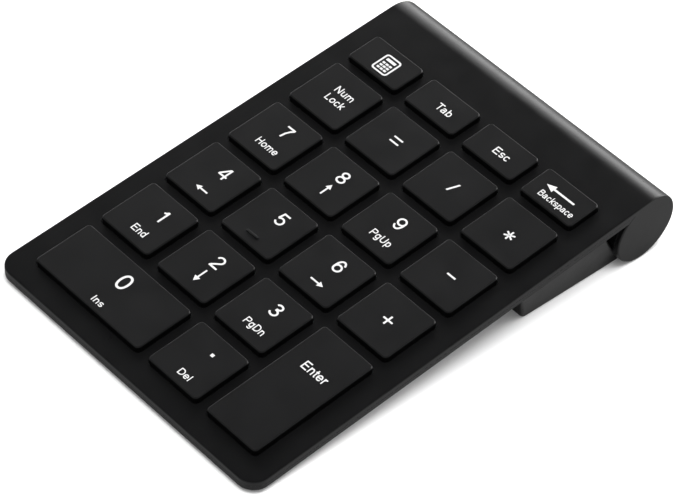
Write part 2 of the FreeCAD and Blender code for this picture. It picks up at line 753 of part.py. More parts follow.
def cover_plate():
    """Deck slab with the lower part of the bar, in the deck frame."""
    rim_z = -SPLIT - COVER_GAP
    slab_back = BAR_Y - 5.0
    slab = deck_slab(0.0, UNDERSIDE, rim_z, slab_back)
    rim = [edge for edge in slab.Edges
           if lies_at(edge, UNDERSIDE) and edge.CenterOfMass.y < slab_back - 0.1]
    slab = slab.makeFillet(val("edge_break"), rim)
    slab = slab.cut(deck_slab(SIDE_WALL, INSIDE, 0.0, BAR_Y - HOLLOW_TO_BAR))
    slab = slab.cut(bar_cylinder(BAR_R + 0.03, HALF_WIDTH + 1))

    bar_half = HALF_WIDTH - SIDE_WALL - BAR_END_GAP
    ring = bar_cylinder(BAR_R, bar_half)
    ring = ring.cut(bar_cylinder(BAR_R - BAR_WALL, HALF_WIDTH + 1))
    ring_low = -BAR_R * 2 - 2
    keep_front = box(strip(0, HALF_WIDTH, BAR_Y - 15, BAR_Y - 0.03), ring_low, rim_z)
    keep_back = box(strip(0, HALF_WIDTH, BAR_Y - 0.1, BAR_Y + 15), ring_low,
                    -BAR_R - val("bar_seam") - 0.05)
    ring = ring.common(keep_front.fuse(keep_back))

    bridge = box(strip(0, bar_half, BAR_Y - HOLLOW_TO_BAR, BAR_Y - 5.6), UNDERSIDE, rim_z)
    bridge = bridge.cut(bar_cylinder(BAR_R - BAR_WALL, HALF_WIDTH))
    plate = slab.fuse(ring).fuse(bridge)
    for x, y in CASE_SCREWS[4:]:
        plate = plate.cut(cylinder(x, y, INSIDE, 1.5, 5))
    return plate


def add_battery_box(cover):
    shell = belly(0.0, 0.2).cut(deep_belly(val("belly_wall")))
    deck_inside = box(strip(0, HALF_WIDTH - SIDE_WALL, 1, BAR_Y - HOLLOW_TO_BAR), INSIDE, 20)
    cover = cover.fuse(shell.cut(to_level(deck_inside)))
    # rear strip of the floor, which carries the rear feet
    rear = box(strip(0, HALF_WIDTH, FLOOR_SPLIT_Y, 120), FLOOR_Z, 2.4)
    cover = cover.fuse(rear.common(OUTER_BELLY))
    # partition between the battery bay and the electronics, and the bay's left end wall
    for left, right in ((12.6, 13.8), (-37.7, -36.8)):
        cover = cover.fuse(box((left, 83, right, 113), BAY_FLOOR, 20).common(OUTER_BELLY))
    # posts that take the floor plate's screws and the circuit board's screws
    for x, y in FLOOR_SCREWS:
        cover = cover.fuse(cylinder(x, y, BAY_FLOOR, 1.7, 20).common(OUTER_BELLY))
    for x, y, _ in BOARD_SCREWS:
        cover = cover.fuse(cylinder(x, y, BOARD_TOP, 1.6, 20).common(OUTER_BELLY))
    for x, y in FLOOR_SCREWS:
        cover = cover.cut(cylinder(x, y, 1.0, 0.8, 5.5))
    for x, y, depth in BOARD_SCREWS:
        cover = cover.cut(cylinder(x, y, BOARD_TOP - 0.01, 0.7, depth))
    return cover


def cut_battery_box(cover):
    cuts = [
        # way out for the sliding door through the front wall, then its side grooves
        box((DOOR_LEFT - 0.05, AHEAD, DOOR_RIGHT + 0.7, FLOOR_SPLIT_Y), -1, BAY_FLOOR),
        box((DOOR_LEFT - 0.75, AHEAD, DOOR_RIGHT + 0.7, FLOOR_SPLIT_Y), 1.03, BAY_FLOOR),
        # the fixed floor plate's place
        box((DOOR_RIGHT, AHEAD, 38.2, FLOOR_SPLIT_Y), -1, BAY_FLOOR),
        # mouth of the receiver bay
        box(strip(RECEIVER_X, SLEEVE_HALF + 0.05, AHEAD, 89.0), 1.0,
            RECEIVER_Z + GRIP_HALF_HIGH + 0.95),
        # slot for the membrane's tail
        box((TAIL_LEFT - 0.2, TAIL_BACK - 0.3, TAIL_RIGHT + 0.2, TAIL_BACK + 0.3), 11.5, 16),
        # notch for the battery leads
        box((12.5, 95.0, 13.9, 100.5), 8.3, 10.9),
    ]
    for cut in cuts:
        cover = cover.cut(cut)
    return cover


def wire_post(key, axis, offset):
    """Post on the bottom cover that holds a stabiliser wire, in the deck frame."""
    post = box(wire_plan(key, axis, (offset - 0.6, offset + 0.6), (-0.85, 0.85)),
               INSIDE - 0.2, PIVOT_Z + 0.75)
    ends = [wire_spot(key, axis, offset + reach, 0) + (PIVOT_Z,) for reach in (-2, 2)]
    return post.cut(rod(ends[0], ends[1], WIRE_R + 0.05))


def build_bottom_cover():
    cover = to_level(cover_plate())
    cover = add_battery_box(cover)
    cover = cut_battery_box(cover)
    for key, _, axis in STABILISERS:
        for offset in WIRE_POSTS:
            cover = cover.fuse(to_level(wire_post(key, axis, offset)))
    # clearance holes and countersinks of the case screws
    for x, y in CASE_SCREWS:
        cover = cover.cut(to_level(cylinder(x, y, UNDERSIDE - 0.1, 0.85, 1.0)))
        cover = cover.cut(to_level(cone(x, y, UNDERSIDE, 1.3, 0.85, 0.45)))
    add_piece("bottom_cover", cover.removeSplitter())


# ---------------------------------------------------------------- floor plate and battery door

def build_floor_plate():
    """Fixed right part of the floor, with the receiver bay standing on it."""
    floor = box((DOOR_RIGHT + 0.06, AHEAD, 38.15, FLOOR_SPLIT_Y - 0.05),
                FLOOR_Z, FLOOR_Z + FLOOR_THICK).common(OUTER_BELLY)
    sleeve = box(strip(RECEIVER_X, SLEEVE_HALF, AHEAD, GRIP_BACK + 1.1),
                 FLOOR_Z, RECEIVER_Z + GRIP_HALF_HIGH + 0.9)
    plug_sleeve = box(strip(RECEIVER_X, 7.0, 80, GRIP_BACK + 13.4), FLOOR_Z, RECEIVER_Z + 3.2)
    floor = floor.fuse(sleeve.fuse(plug_sleeve).common(OUTER_BELLY))
    # room for the grip, then for the plug
    floor = floor.cut(box(strip(RECEIVER_X, GRIP_HALF + 0.1, AHEAD, GRIP_BACK + 0.3),
                          RECEIVER_Z - GRIP_HALF_HIGH - 0.1, RECEIVER_Z + GRIP_HALF_HIGH + 0.1))
    floor = floor.cut(box(strip(RECEIVER_X, 6.15, 80, GRIP_BACK + 12.5),
                          RECEIVER_Z - 2.4, RECEIVER_Z + 2.4))
    # rebate in the left edge, under the door's tongue
    floor = floor.cut(box((12.0, AHEAD, 13.05, 130),
                          FLOOR_Z + 0.44, FLOOR_Z + FLOOR_THICK + 0.2))
    for x, y in FLOOR_SCREWS:
        floor = floor.cut(cylinder(x, y, 0, 0.9, 3))
        floor = floor.cut(cone(x, y, FLOOR_Z, 1.7, 0.9, 0.8))
    # switch slot and the shallow recess round it
    floor = floor.cut(box(SWITCH_SLOT, 0, 3))
    floor = floor.cut(box((33.4, 92.6, 37.4, 100.8), 0, FLOOR_Z + 0.5))
    add_piece("floor_plate", floor.removeSplitter())


def build_battery_door():
    top = FLOOR_Z + FLOOR_THICK
    door = box((DOOR_LEFT, AHEAD, DOOR_RIGHT, FLOOR_SPLIT_Y - 0.1), FLOOR_Z, top)
    door = door.common(OUTER_BELLY)
    # the upper half runs on to both sides as tongues
    door = door.fuse(box((DOOR_LEFT - 0.65, 89.5, DOOR_RIGHT + 0.6, FLOOR_SPLIT_Y - 0.6),
                         FLOOR_Z + 0.5, top))
    # grooves across the door's underside
    for i in range(6):
        y = 91.5 + i * 1.5
        door = door.cut(box((-19.4, y, -6.4, y + 0.7), FLOOR_Z - 0.1, FLOOR_Z + 0.3))
    add_piece("battery_door", door.removeSplitter())


# ---------------------------------------------------------------- cells and contacts

CELL_LENGTH, CELL_Z = val("cell_length"), val("cell_height")
CELL_FRONT_Y, CELL_REAR_Y = val("cell_front_y"), val("cell_rear_y")
LEFT_CONTACT_X, RIGHT_CONTACT_X = -36.45, 12.2      # faces of the contact plates
CONTACT_THICK = 0.3
CONTACT_LOW, CONTACT_HIGH = 3.0, 10.6
SPRING, BUMP = 2.65, 1.45                           # how far each stands off its plate
COIL_R, COIL_TIP_R, COIL_WIRE_R, COIL_TURNS = 3.3, 2.3, 0.28, 2.5


def build_cell(name, flat_x, direction, y):
    """AAA cell from its flat end at flat_x; direction is the sign of x towards its nub."""
    along = Vector(direction, 0, 0)
    can = Part.makeCylinder(val("cell_radius"), CELL_LENGTH - 1.0,
                            Vector(flat_x, y, CELL_Z), along)
    can = can.makeFillet(0.4, [edge for edge in can.Edges if is_round(edge) and edge.Closed])
    nub_x = flat_x + direction * CELL_LENGTH
    nub = Part.makeCylinder(1.9, 1.2, Vector(flat_x + direction * (CELL_LENGTH - 1.2), y, CELL_Z),
                            along)
    nub = nub.makeFillet(0.3, [edge for edge in nub.Edges
                               if is_round(edge) and abs(edge.CenterOfMass.x - nub_x) < TOL])
    add_piece(name, can.fuse(nub))


def coil():
    """A conical spring on +X from x = 0 to x = SPRING."""
    height = SPRING - 2 * COIL_WIRE_R
    helix = Part.makeHelix(height / COIL_TURNS, height, COIL_R,
                           math.degrees(math.atan((COIL_TIP_R - COIL_R) / height)))
    first = helix.Edges[0]
    start, tangent = first.valueAt(first.FirstParameter), first.tangentAt(first.FirstParameter)
    section = Part.Wire([Part.makeCircle(COIL_WIRE_R, start, tangent)])
    spring = Part.Wire(helix.Edges).makePipeShell([section], True, True)
    spring.translate(Vector(0, 0, COIL_WIRE_R))
    spring.rotate(Vector(0, 0, 0), Y_AXIS, 90)
    return spring


def coil_stakes(face_x, direction, y):
    """Four short pins that join the coil's first turn to its plate."""
    stakes = None
    for dy, dz in ((0, COIL_R), (COIL_R, 0), (0, -COIL_R), (-COIL_R, 0)):
        stake = Part.makeCylinder(0.45, 0.75,
                                  Vector(face_x - direction * 0.15, y + dy, CELL_Z + dz),
                                  Vector(direction, 0, 0))
        stakes = stake if stakes is None else stakes.fuse(stake)
    return stakes


def build_contact(name, face_x, direction, front, back, spring_y=None, bump_y=None):
    """Contact plate; direction is the sign of x from its face towards the cells."""
    left, right = sorted((face_x - direction * CONTACT_THICK, face_x))
    contact = box((left, front, right, back), CONTACT_LOW, CONTACT_HIGH)
    if spring_y is not None:
        spring = coil()
        if direction < 0:
            spring = spring.mirror(Vector(0, 0, 0), X_AXIS)
        spring.translate(Vector(face_x, spring_y, CELL_Z))
        contact = contact.fuse(spring).fuse(coil_stakes(face_x, direction, spring_y))
    if bump_y is not None:
        contact = contact.fuse(Part.makeCone(2.6, 1.9, BUMP, Vector(face_x, bump_y, CELL_Z),
                                             Vector(direction, 0, 0)))
    add_piece(name, contact)


def build_cells_and_contacts():
    build_cell("aaa_cell_front", LEFT_CONTACT_X + SPRING + 0.01, 1, CELL_FRONT_Y)
    build_cell("aaa_cell_rear", RIGHT_CONTACT_X - SPRING - 0.01, -1, CELL_REAR_Y)
    build_contact("battery_bridge_contact", LEFT_CONTACT_X, 1, CELL_FRONT_Y - 4.6,
                  CELL_REAR_Y + 4.0, spring_y=CELL_FRONT_Y, bump_y=CELL_REAR_Y)
    build_contact("battery_plus_contact", RIGHT_CONTACT_X, -1, CELL_FRONT_Y - 4.6,
                  CELL_FRONT_Y + 4.4, bump_y=CELL_FRONT_Y)
    build_contact("battery_minus_contact", RIGHT_CONTACT_X, -1, CELL_REAR_Y - 4.6,
                  CELL_REAR_Y + 4.0, spring_y=CELL_REAR_Y)


# ---------------------------------------------------------------- electronics

def build_board():
    board = box((14.2, 90.8, 38.8, 105.4), BOARD_LOW, BOARD_TOP)
    for x, y, _ in BOARD_SCREWS:
        board = board.cut(cylinder(x, y, BOARD_LOW - 1, 0.8, 3))
    add_piece("main_board", board)


def build_board_parts():
    add_piece("controller_chip",
              round_box((19.5, 93.5, 25.9, 99.0), BOARD_TOP, BOARD_TOP + 1.1, 0.3, "x"))
    add_piece("crystal", round_box((28.2, 94.0, 31.4, 96.5), BOARD_TOP, BOARD_TOP + 0.8, 0.4, "z"))
    # left front corners: a row across the board and a row along it
    corners = [(27.6 + i * 1.7, 98.0) for i in range(5)]
    corners += [(33.4, 92.6 + i * 1.5) for i in range(3)]
    add_piece("smd_parts", Part.makeCompound(
        [box((x, y, x + 1.0, y + 0.6), BOARD_TOP, BOARD_TOP + 0.5) for x, y in corners]))


def build_membrane_tail():
    """Tail that hangs from the membranes and bends forward onto the board, and its clamp."""
    bend_z = BOARD_TOP + SHEET_THICK
    tail = box((TAIL_LEFT, TAIL_BACK - SHEET_THICK, TAIL_RIGHT, TAIL_BACK), bend_z, 14.36)
    tail = tail.fuse(box((TAIL_LEFT, 101.6, TAIL_RIGHT, TAIL_BACK), BOARD_TOP, bend_z))
    add_piece("membrane_tail", tail.removeSplitter())
    add_piece("tail_clamp", round_box((TAIL_LEFT - 1, 101.9, TAIL_RIGHT + 1, 104.5),
                                      bend_z, bend_z + 0.8, 0.3, "x"))


def build_power_switch():
    switch = box((33.2, 92.0, 37.6, 100.6), 5.0, BOARD_LOW)
    add_piece("power_switch_body", switch.cut(box(SWITCH_SLOT, 4.0, 6.4)))
    knob = box((34.55, 94.15, 36.25, 97.25), FLOOR_Z + 0.2, 5.9)
    knob = knob.fuse(box((33.9, 93.1, 36.9, 98.3), 0.3, FLOOR_Z + 0.42))
    # grooves across the knob's underside
    for i in range(4):
        y = 93.95 + i * 1.05
        knob = knob.cut(box((33.0, y, 38.0, y + 0.45), 0.0, 0.5))
    add_piece("power_switch_knob", knob.removeSplitter())


def build_battery_leads():
    # x, z of each bend, from the right-hand contacts to the board's underside
    route = [(RIGHT_CONTACT_X + 0.32, 9.9), (13.75, 9.9), (13.75, 8.8), (15.2, 8.8),
             (15.2, BOARD_LOW - 0.02)]
    for name, y in (("battery_lead_red", 96.6), ("battery_lead_black", 99.8)):
        add_piece(name, bent_wire([(x, y, z) for x, z in route], 0.35))


# ---------------------------------------------------------------- receiver

PLUG_HALF, PLUG_HALF_HIGH = val("plug_wide") / 2, val("plug_high") / 2
PLUG_BACK = GRIP_BACK + val("plug_long")
PLUG_FRONT = GRIP_BACK - 1.5        # the plug shell is pressed this far into the grip
SHELL_WALL = 0.3


def build_receiver_grip():
    low, high = RECEIVER_Z - GRIP_HALF_HIGH, RECEIVER_Z + GRIP_HALF_HIGH
    grip = round_box(strip(RECEIVER_X, GRIP_HALF, RECEIVER_Y, GRIP_BACK), low, high, 1.1, "y")
    outer = [edge for edge in grip.Edges
             if all(abs(vertex.Point.y - RECEIVER_Y) < TOL for vertex in edge.Vertexes)]
    grip = grip.makeFillet(0.35, outer)
    # four grooves near each side, above and below
    for side in (-1, 1):
        for i in range(4):
            x = RECEIVER_X + side * (5.0 + i * 0.8)
            for z in (high - 0.25, low - 0.25):
                grip = grip.cut(box(strip(x, 0.2, RECEIVER_Y + 1.0, GRIP_BACK - 0.9), z, z + 0.5))
    # recess that the plug shell is pressed into
    grip = grip.cut(box(strip(RECEIVER_X, PLUG_HALF, PLUG_FRONT, GRIP_BACK + 1),
                        RECEIVER_Z - PLUG_HALF_HIGH, RECEIVER_Z + PLUG_HALF_HIGH))
    add_piece("receiver_grip", grip)


def build_receiver_plug():
    shell = box(strip(RECEIVER_X, PLUG_HALF, PLUG_FRONT, PLUG_BACK),
                RECEIVER_Z - PLUG_HALF_HIGH, RECEIVER_Z + PLUG_HALF_HIGH)
    shell = shell.makeFillet(0.45, [edge for edge in shell.Edges if abs(
        edge.Vertexes[0].Point.y - edge.Vertexes[1].Point.y) > 1])
    inner = PLUG_HALF_HIGH - SHELL_WALL
    shell = shell.cut(box(strip(RECEIVER_X, PLUG_HALF - SHELL_WALL,
                                PLUG_FRONT + SHELL_WALL, PLUG_BACK + 1),
                          RECEIVER_Z - inner, RECEIVER_Z + inner))
    # two windows right through, above and below
    for side in (-1, 1):
        shell = shell.cut(box(strip(RECEIVER_X + side * 3.0, 1.15,
                                    GRIP_BACK + 5.4, GRIP_BACK + 7.6),
                              RECEIVER_Z - 5, RECEIVER_Z + 5))
    add_piece("receiver_plug_shell", shell)

    tongue_top = RECEIVER_Z - 0.1
    add_piece("receiver_tongue", box(
        strip(RECEIVER_X, PLUG_HALF - 0.32, GRIP_BACK - 1.15, PLUG_BACK - 0.3),
        RECEIVER_Z - PLUG_HALF_HIGH + 0.32, tongue_top))
    add_piece("receiver_contacts", Part.makeCompound(
        [box(strip(RECEIVER_X + x, 0.5, GRIP_BACK + 3.0, PLUG_BACK - 1.0), tongue_top, RECEIVER_Z)
         for x in (-3.5, -1.2, 1.2, 3.5)]))


# ---------------------------------------------------------------- membranes and domes

def membrane(layer):
    """One of the three layers, counted from the lowest, in the deck frame."""
    low = INSIDE + SHEET_THICK * layer
    sheet_shape = box(strip(0, 37.6, 5.4, 111.3), low, low + SHEET_THICK)
    for x, y in CASE_SCREWS:
        sheet_shape = sheet_shape.cut(cylinder(x, y, UNDERSIDE - 0.5, 1.7, 4))
    for key, _, axis in STABILISERS:
        for offset in WIRE_POSTS:
            hole = wire_plan(key, axis, (offset - 0.8, offset + 0.8), (-1.05, 1.05))
            sheet_shape = sheet_shape.cut(box(hole, -4, 0))
    return sheet_shape


def build_membranes():
    add_piece("membrane_lower", membrane(0), DECK)
    spacer = membrane(1)
    for x, y in CENTRES.values():
        spacer = spacer.cut(cylinder(x, y, UNDERSIDE, 2.2, 3))
    add_piece("membrane_spacer", spacer, DECK)
    add_piece("membrane_upper", membrane(2), DECK)


def build_domes():
    """A turned dome under the middle of each keycap."""
    stack = INSIDE + 3 * SHEET_THICK                # top of the membrane stack
    cap = val("key_rise") - val("key_slab")         # underside of a keycap's top
    # radius, height
    profile = [(2.9, stack), (3.9, stack), (3.9, stack + 0.25), (3.35, stack + 0.3),
               (2.3, cap - 0.7), (2.2, cap - 0.01), (0, cap - 0.01), (0, cap - 1.35),
               (0.9, cap - 1.35), (0.9, cap - 0.65), (1.9, cap - 0.75)]
    points = [Vector(radius, 0, z) for radius, z in profile]
    outline = Part.makePolygon(points + [points[0]])
    dome = Part.Face(outline).revolve(Vector(0, 0, 0), Z_AXIS, 360)
    domes = []
    for x, y in CENTRES.values():
        copy = dome.copy()
        copy.translate(Vector(x, y, 0))
        domes.append(copy.Solids[0])
    add_piece("key_domes", Part.makeCompound(domes), DECK)


# ---------------------------------------------------------------- screws and feet

def cut_cross(screw, x, y, reach, low, high):
    """Cross recess for the screwdriver."""
    half = 0.14
    screw = screw.cut(box(strip(x, reach, y - half, y + half), low, high))
    return screw.cut(box(strip(x, half, y - reach, y + reach), low, high))


def flat_screw(x, y, z, head_r, head_height, length):
    """Countersunk screw driven upwards, its head's face at z."""
    shank_r = 0.78
    screw = cone(x, y, z, head_r, shank_r, head_height)
    screw = screw.fuse(cylinder(x, y, z, shank_r, length))
    return cut_cross(screw, x, y, head_r * 0.55, z - 0.1, z + head_height * 0.6)


def board_screw(x, y):
    screw = cylinder(x, y, BOARD_LOW - 0.6, 1.35, 0.6)
    screw = screw.fuse(cylinder(x, y, BOARD_LOW - 0.1, 0.68, 2.2))
    return cut_cross(screw, x, y, 0.7, BOARD_LOW - 1, BOARD_LOW - 0.3)


def build_screws():
    case = [flat_screw(x, y, UNDERSIDE + 0.02, head_r=1.26, head_height=0.42, length=2.0)
            for x, y in CASE_SCREWS]
    add_piece("case_screws", Part.makeCompound(case), DECK)
    floor = [flat_screw(x, y, FLOOR_Z + 0.03, head_r=1.62, head_height=0.75, length=5.0)
             for x, y in FLOOR_SCREWS]
    add_piece("floor_screws", Part.makeCompound(floor))
    board = [board_screw(x, y) for x, y, _ in BOARD_SCREWS]
    add_piece("board_screws", Part.makeCompound(board))


def build_front_feet():
    """Upright discs whose tops are trimmed to the slope of the deck's underside."""
    below_deck = to_level(box(strip(0, 60, -10, 140), -60, UNDERSIDE))
    feet = []
    for side in (-1, 1):
        centre = DECK_IN_LEVEL.multVec(Vector(side * 37.6, 5.4, UNDERSIDE))
        foot = cylinder(centre.x, centre.y, 0, val("foot_radius"), 6).common(below_deck)
        feet.append(foot.makeFillet(0.3, [edge for edge in foot.Edges if is_round(edge)
                                          and abs(edge.CenterOfMass.z) < TOL]))
    add_piece("front_feet", Part.makeCompound(feet))


def build_rear_feet():
    feet = []
    for side in (-1, 1):
        foot = round_box(strip(side * 28, 7, 111.3, 114.2), 0, FLOOR_Z, 1.2, "z")
        feet.append(foot.makeFillet(0.2, [edge for edge in foot.Edges if lies_at(edge, 0)]))
    add_piece("rear_feet", Part.makeCompound(feet))


# ---------------------------------------------------------------- build, check and export

def check():
    doc.recompute()
    bad = [obj.Name for obj in doc.Objects if "Invalid" in obj.State or "Error" in obj.State]
    if bad:
        raise RuntimeError("objects in error: %s" % bad)
    for name, piece in pieces.items():
        shape = piece.Shape
        if shape.isNull() or not shape.isValid() or not shape.Solids:
            raise RuntimeError("bad shape: " + name)


def export():
    for name in os.listdir("parts"):
        if name.endswith(".step"):
            os.remove(os.path.join("parts", name))
    for piece in pieces.values():
        shape = piece.Shape
        if len(shape.Solids) == 1:
            shape = shape.Solids[0]
        shape.exportStep("parts/%s.step" % piece.Label)


for key_row in KEYS:
    build_key(*key_row)
add_homing_bar("key_5")
for key, _, axis in STABILISERS:
    add_ears(key, axis)
build_top_cover()
build_bottom_cover()
build_floor_plate()
build_battery_door()
build_cells_and_contacts()
build_board()
build_board_parts()
build_membrane_tail()
build_power_switch()
build_battery_leads()
build_receiver_grip()
build_receiver_plug()
build_membranes()
build_domes()
for key, wire_name, axis in STABILISERS:
    build_wire(key, wire_name, axis)
build_screws()
build_front_feet()
build_rear_feet()
check()
export()
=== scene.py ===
"""Numeric keypad: an inclined deck of printed keys over silicone domes.

The scene is in metres: x to the right, y to the back, z up. The deck rises to the back. Places
on it are deck coordinates in mm: u to the right, v up the deck, w out of its top face.
"""
import json
import math

import bmesh
import bpy
import numpy as np
from mathutils import Matrix, Vector


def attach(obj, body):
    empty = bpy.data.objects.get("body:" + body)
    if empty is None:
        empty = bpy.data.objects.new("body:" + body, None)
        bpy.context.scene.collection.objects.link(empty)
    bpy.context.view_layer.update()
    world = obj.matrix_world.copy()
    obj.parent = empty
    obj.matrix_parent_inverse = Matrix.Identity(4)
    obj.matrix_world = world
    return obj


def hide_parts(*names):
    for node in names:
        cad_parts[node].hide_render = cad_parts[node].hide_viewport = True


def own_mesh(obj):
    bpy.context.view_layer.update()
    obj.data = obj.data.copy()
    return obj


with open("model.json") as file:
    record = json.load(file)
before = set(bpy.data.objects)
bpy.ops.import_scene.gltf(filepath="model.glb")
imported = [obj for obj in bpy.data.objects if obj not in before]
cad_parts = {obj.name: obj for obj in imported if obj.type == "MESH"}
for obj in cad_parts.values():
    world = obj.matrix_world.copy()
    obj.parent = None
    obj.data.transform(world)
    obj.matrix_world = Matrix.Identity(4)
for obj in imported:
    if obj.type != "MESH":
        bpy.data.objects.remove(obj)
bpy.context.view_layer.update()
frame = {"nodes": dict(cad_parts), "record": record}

MM = 0.001

TILT = math.radians(7.0)
SIN, COS = math.sin(TILT), math.cos(TILT)
CENTRE_Y, RISE = 65.41, 3.736            # where the deck's origin lies, mm
DECK = Matrix(((1, 0, 0, 0),
               (0, COS, -SIN, -CENTRE_Y),
               (0, SIN, COS, RISE),
               (0, 0, 0, 1)))
TO_DECK = DECK.inverted()


def deck(u, v, w):
    """Scene point, in metres, of a point in deck coordinates."""
    return (DECK @ Vector((u, v, w))) * MM


def deck_dir(u, v, w):
    """Scene direction of a direction in deck coordinates."""
    return Vector((u, v * COS - w * SIN, v * SIN + w * COS))


DECK_NORMAL = tuple(deck_dir(0, 0, 1))


def add_object(name, data, material=None):
    obj = bpy.data.objects.new(name, data)
    bpy.context.scene.collection.objects.link(obj)
    if material:
        data.materials.append(material)
    return obj


# ---------------------------------------------------------------- node building

class Nodes:
    """Builds the node tree of a material or a world."""

    def __init__(self, owner, output="OutputMaterial", space="Object"):
        owner.use_nodes = True
        self.owner = owner
        self.tree = owner.node_tree
        self.tree.nodes.clear()
        self.output = self.add(output)
        self.coord = self.add("TexCoord").outputs[space]

    def add(self, kind, inputs=None, **settings):
        """New node; inputs maps socket names or numbers to values or to other sockets."""
        node = self.tree.nodes.new("ShaderNode" + kind)
        for key, value in settings.items():
            setattr(node, key, value)
        for key, value in (inputs or {}).items():
            self.feed(node.inputs[key], value)
        return node

    def feed(self, socket, value):
        if isinstance(value, bpy.types.NodeSocket):
            self.tree.links.new(value, socket)
        elif socket.type == "RGBA":
            socket.default_value = (*value, 1.0)
        else:
            socket.default_value = value

    def finish(self, shader):
        self.feed(self.output.inputs["Surface"], shader)
        return self.owner

    def noise(self, scale, detail=3.0, roughness=0.5, distortion=0.0, vector=None):
        return self.add("TexNoise", {
            "Scale": scale, "Detail": detail, "Roughness": roughness,
            "Distortion": distortion, "Vector": vector or self.coord}).outputs["Fac"]

    def cells(self, scale, **settings):
        node = self.add("TexVoronoi", {"Scale": scale, "Vector": self.coord}, **settings)
        return node.outputs["Distance"]

    def remap(self, value, start=0.3, end=0.7, to=(0.0, 1.0)):
        """Spread start..end over the range to; the default suits the usual span of a noise."""
        return self.add("MapRange", {
            "From Min": start, "From Max": end, "To Min": to[0], "To Max": to[1],
            "Value": value}).outputs["Result"]

    def math(self, operation, *values):
        return self.add("Math", dict(enumerate(values)), operation=operation).outputs[0]

    def times(self, value, amount):
        return self.math("MULTIPLY", value, amount)

    def clamp(self, value):
        return self.math("MINIMUM", self.math("MAXIMUM", value, 0.0), 1.0)

    def between(self, value, low, high):
        return self.times(self.math("GREATER_THAN", value, low),
                          self.math("LESS_THAN", value, high))

    def dot(self, first, second):
        node = self.add("VectorMath", {0: first, 1: second}, operation="DOT_PRODUCT")
        return node.outputs["Value"]

    def mix(self, factor, first, second):
        return self.add("Mix", {0: factor, 6: first, 7: second}, data_type="RGBA").outputs[2]

    def rounded(self, radius, samples):
        """Normal that turns through every sharp edge, as if it had a small radius."""
        return self.add("Bevel", {"Radius": radius}, samples=samples).outputs["Normal"]

    def edge(self, radius=0.0004):
        """1 on sharp edges, 0 on flats: where handling polishes a part, and where moulded plastic
        gets its painted edge highlight.
        """
        turned = self.rounded(radius, samples=4)
        normal = self.add("NewGeometry").outputs["Normal"]
        return self.remap(self.dot(turned, normal), start=0.995, end=0.86)

    def bump(self, height, strength, distance, below=None):
        inputs = {"Strength": strength, "Distance": distance, "Height": height}
        if below is not None:
            inputs["Normal"] = below
        return self.add("Bump", inputs).outputs["Normal"]

    def bsdf(self, color, rough, normal, metallic=0.0, ior=1.5, **more):
        inputs = {"Base Color": color, "Roughness": rough, "Metallic": metallic, "IOR": ior,
                  "Normal": normal}
        inputs.update((key.replace("_", " "), value) for key, value in more.items())
        return self.add("BsdfPrincipled", inputs).outputs[0]


def new_material(name):
    return Nodes(bpy.data.materials.new(name))


def tint(color, gain, lift=0.0, limit=math.inf):
    return tuple(min(limit, part * gain + lift) for part in color)


# ---------------------------------------------------------------- materials

def moulded(name, dark, light, rough=(0.42, 0.55), grain=5200.0, depth=0.00003, strength=0.35,
            wear_and_highlight=0.35, painted_wall_shade=None):
    """Injection-moulded plastic: fine grain, faint flow mottling, edges worn by handling and
    lightened as a painted highlight.

    Given a gain for the walls, it paints shade on faces that turn away from the deck's top: it
    dims their tone and their shine.
    """
    mat = new_material(name)
    fine = mat.cells(scale=grain)
    coarse = mat.noise(scale=grain * 0.45, detail=2.0, roughness=0.6)
    mottle = mat.noise(scale=55.0, detail=4.0, roughness=0.55, distortion=0.6)
    smudge = mat.noise(scale=170.0, detail=5.0, roughness=0.6)
    specks = mat.noise(scale=2600.0, detail=2.0, roughness=0.7)
    dust = mat.remap(specks, start=0.70, end=0.80)
    tone = mat.mix(mat.remap(mottle), dark, light)
    tone = mat.mix(mat.times(dust, amount=0.10), tone,
                   tint(light, gain=4, lift=0.03, limit=1.0))
    rubbed = mat.noise(scale=420.0, detail=4.0, roughness=0.65)
    worn_and_highlit = mat.times(mat.edge(), mat.remap(rubbed, start=0.35, end=0.75))
    # edges lightened in colour: partly wear from handling, partly a painted highlight
    tone = mat.mix(mat.times(worn_and_highlit, wear_and_highlight), tone, tint(light, gain=2.2, lift=0.012))
    roughness = mat.remap(smudge, start=0.25, end=0.75, to=rough)
    roughness = mat.math("SUBTRACT", roughness, mat.times(worn_and_highlit, amount=0.12))
    height = mat.math("ADD", mat.times(fine, amount=0.7), mat.times(coarse, amount=0.5))
    normal = mat.bump(height, strength, depth, below=mat.rounded(radius=0.00014, samples=6))
    extra = {}
    if painted_wall_shade is not None:
        # painted shade: faces turned away from the deck's top get a darker tone and less shine
        facing = mat.dot(mat.add("NewGeometry").outputs["True Normal"], DECK_NORMAL)
        top = mat.remap(facing, start=0.15, end=0.85)
        tone = mat.mix(top, tint(dark, gain=painted_wall_shade), tone)
        extra["Specular_IOR_Level"] = mat.remap(top, start=0.0, end=1.0, to=(0.5 * painted_wall_shade, 0.5))
    return mat.finish(mat.bsdf(tone, roughness, normal, **extra))


def ink(name, tone):
    """Printed ink: a slightly uneven film with fine pinholes."""
    mat = new_material(name)
    layer = mat.noise(scale=1400.0, roughness=0.6)
    specks = mat.noise(scale=6500.0, detail=2.0, roughness=0.7)
    pinholes = mat.remap(specks, start=0.72, end=0.80)
    color = mat.mix(mat.remap(layer), tint(tone, gain=0.93), tone)
    color = mat.mix(mat.times(pinholes, amount=0.35), color, tint(tone, gain=0.55))
    relief = mat.noise(scale=5200.0, detail=2.0, roughness=0.6)
    normal = mat.bump(relief, strength=0.2, distance=0.00001)
    rough = mat.remap(layer, start=0.2, end=0.8, to=(0.42, 0.6))
    return mat.finish(mat.bsdf(color, rough, normal))


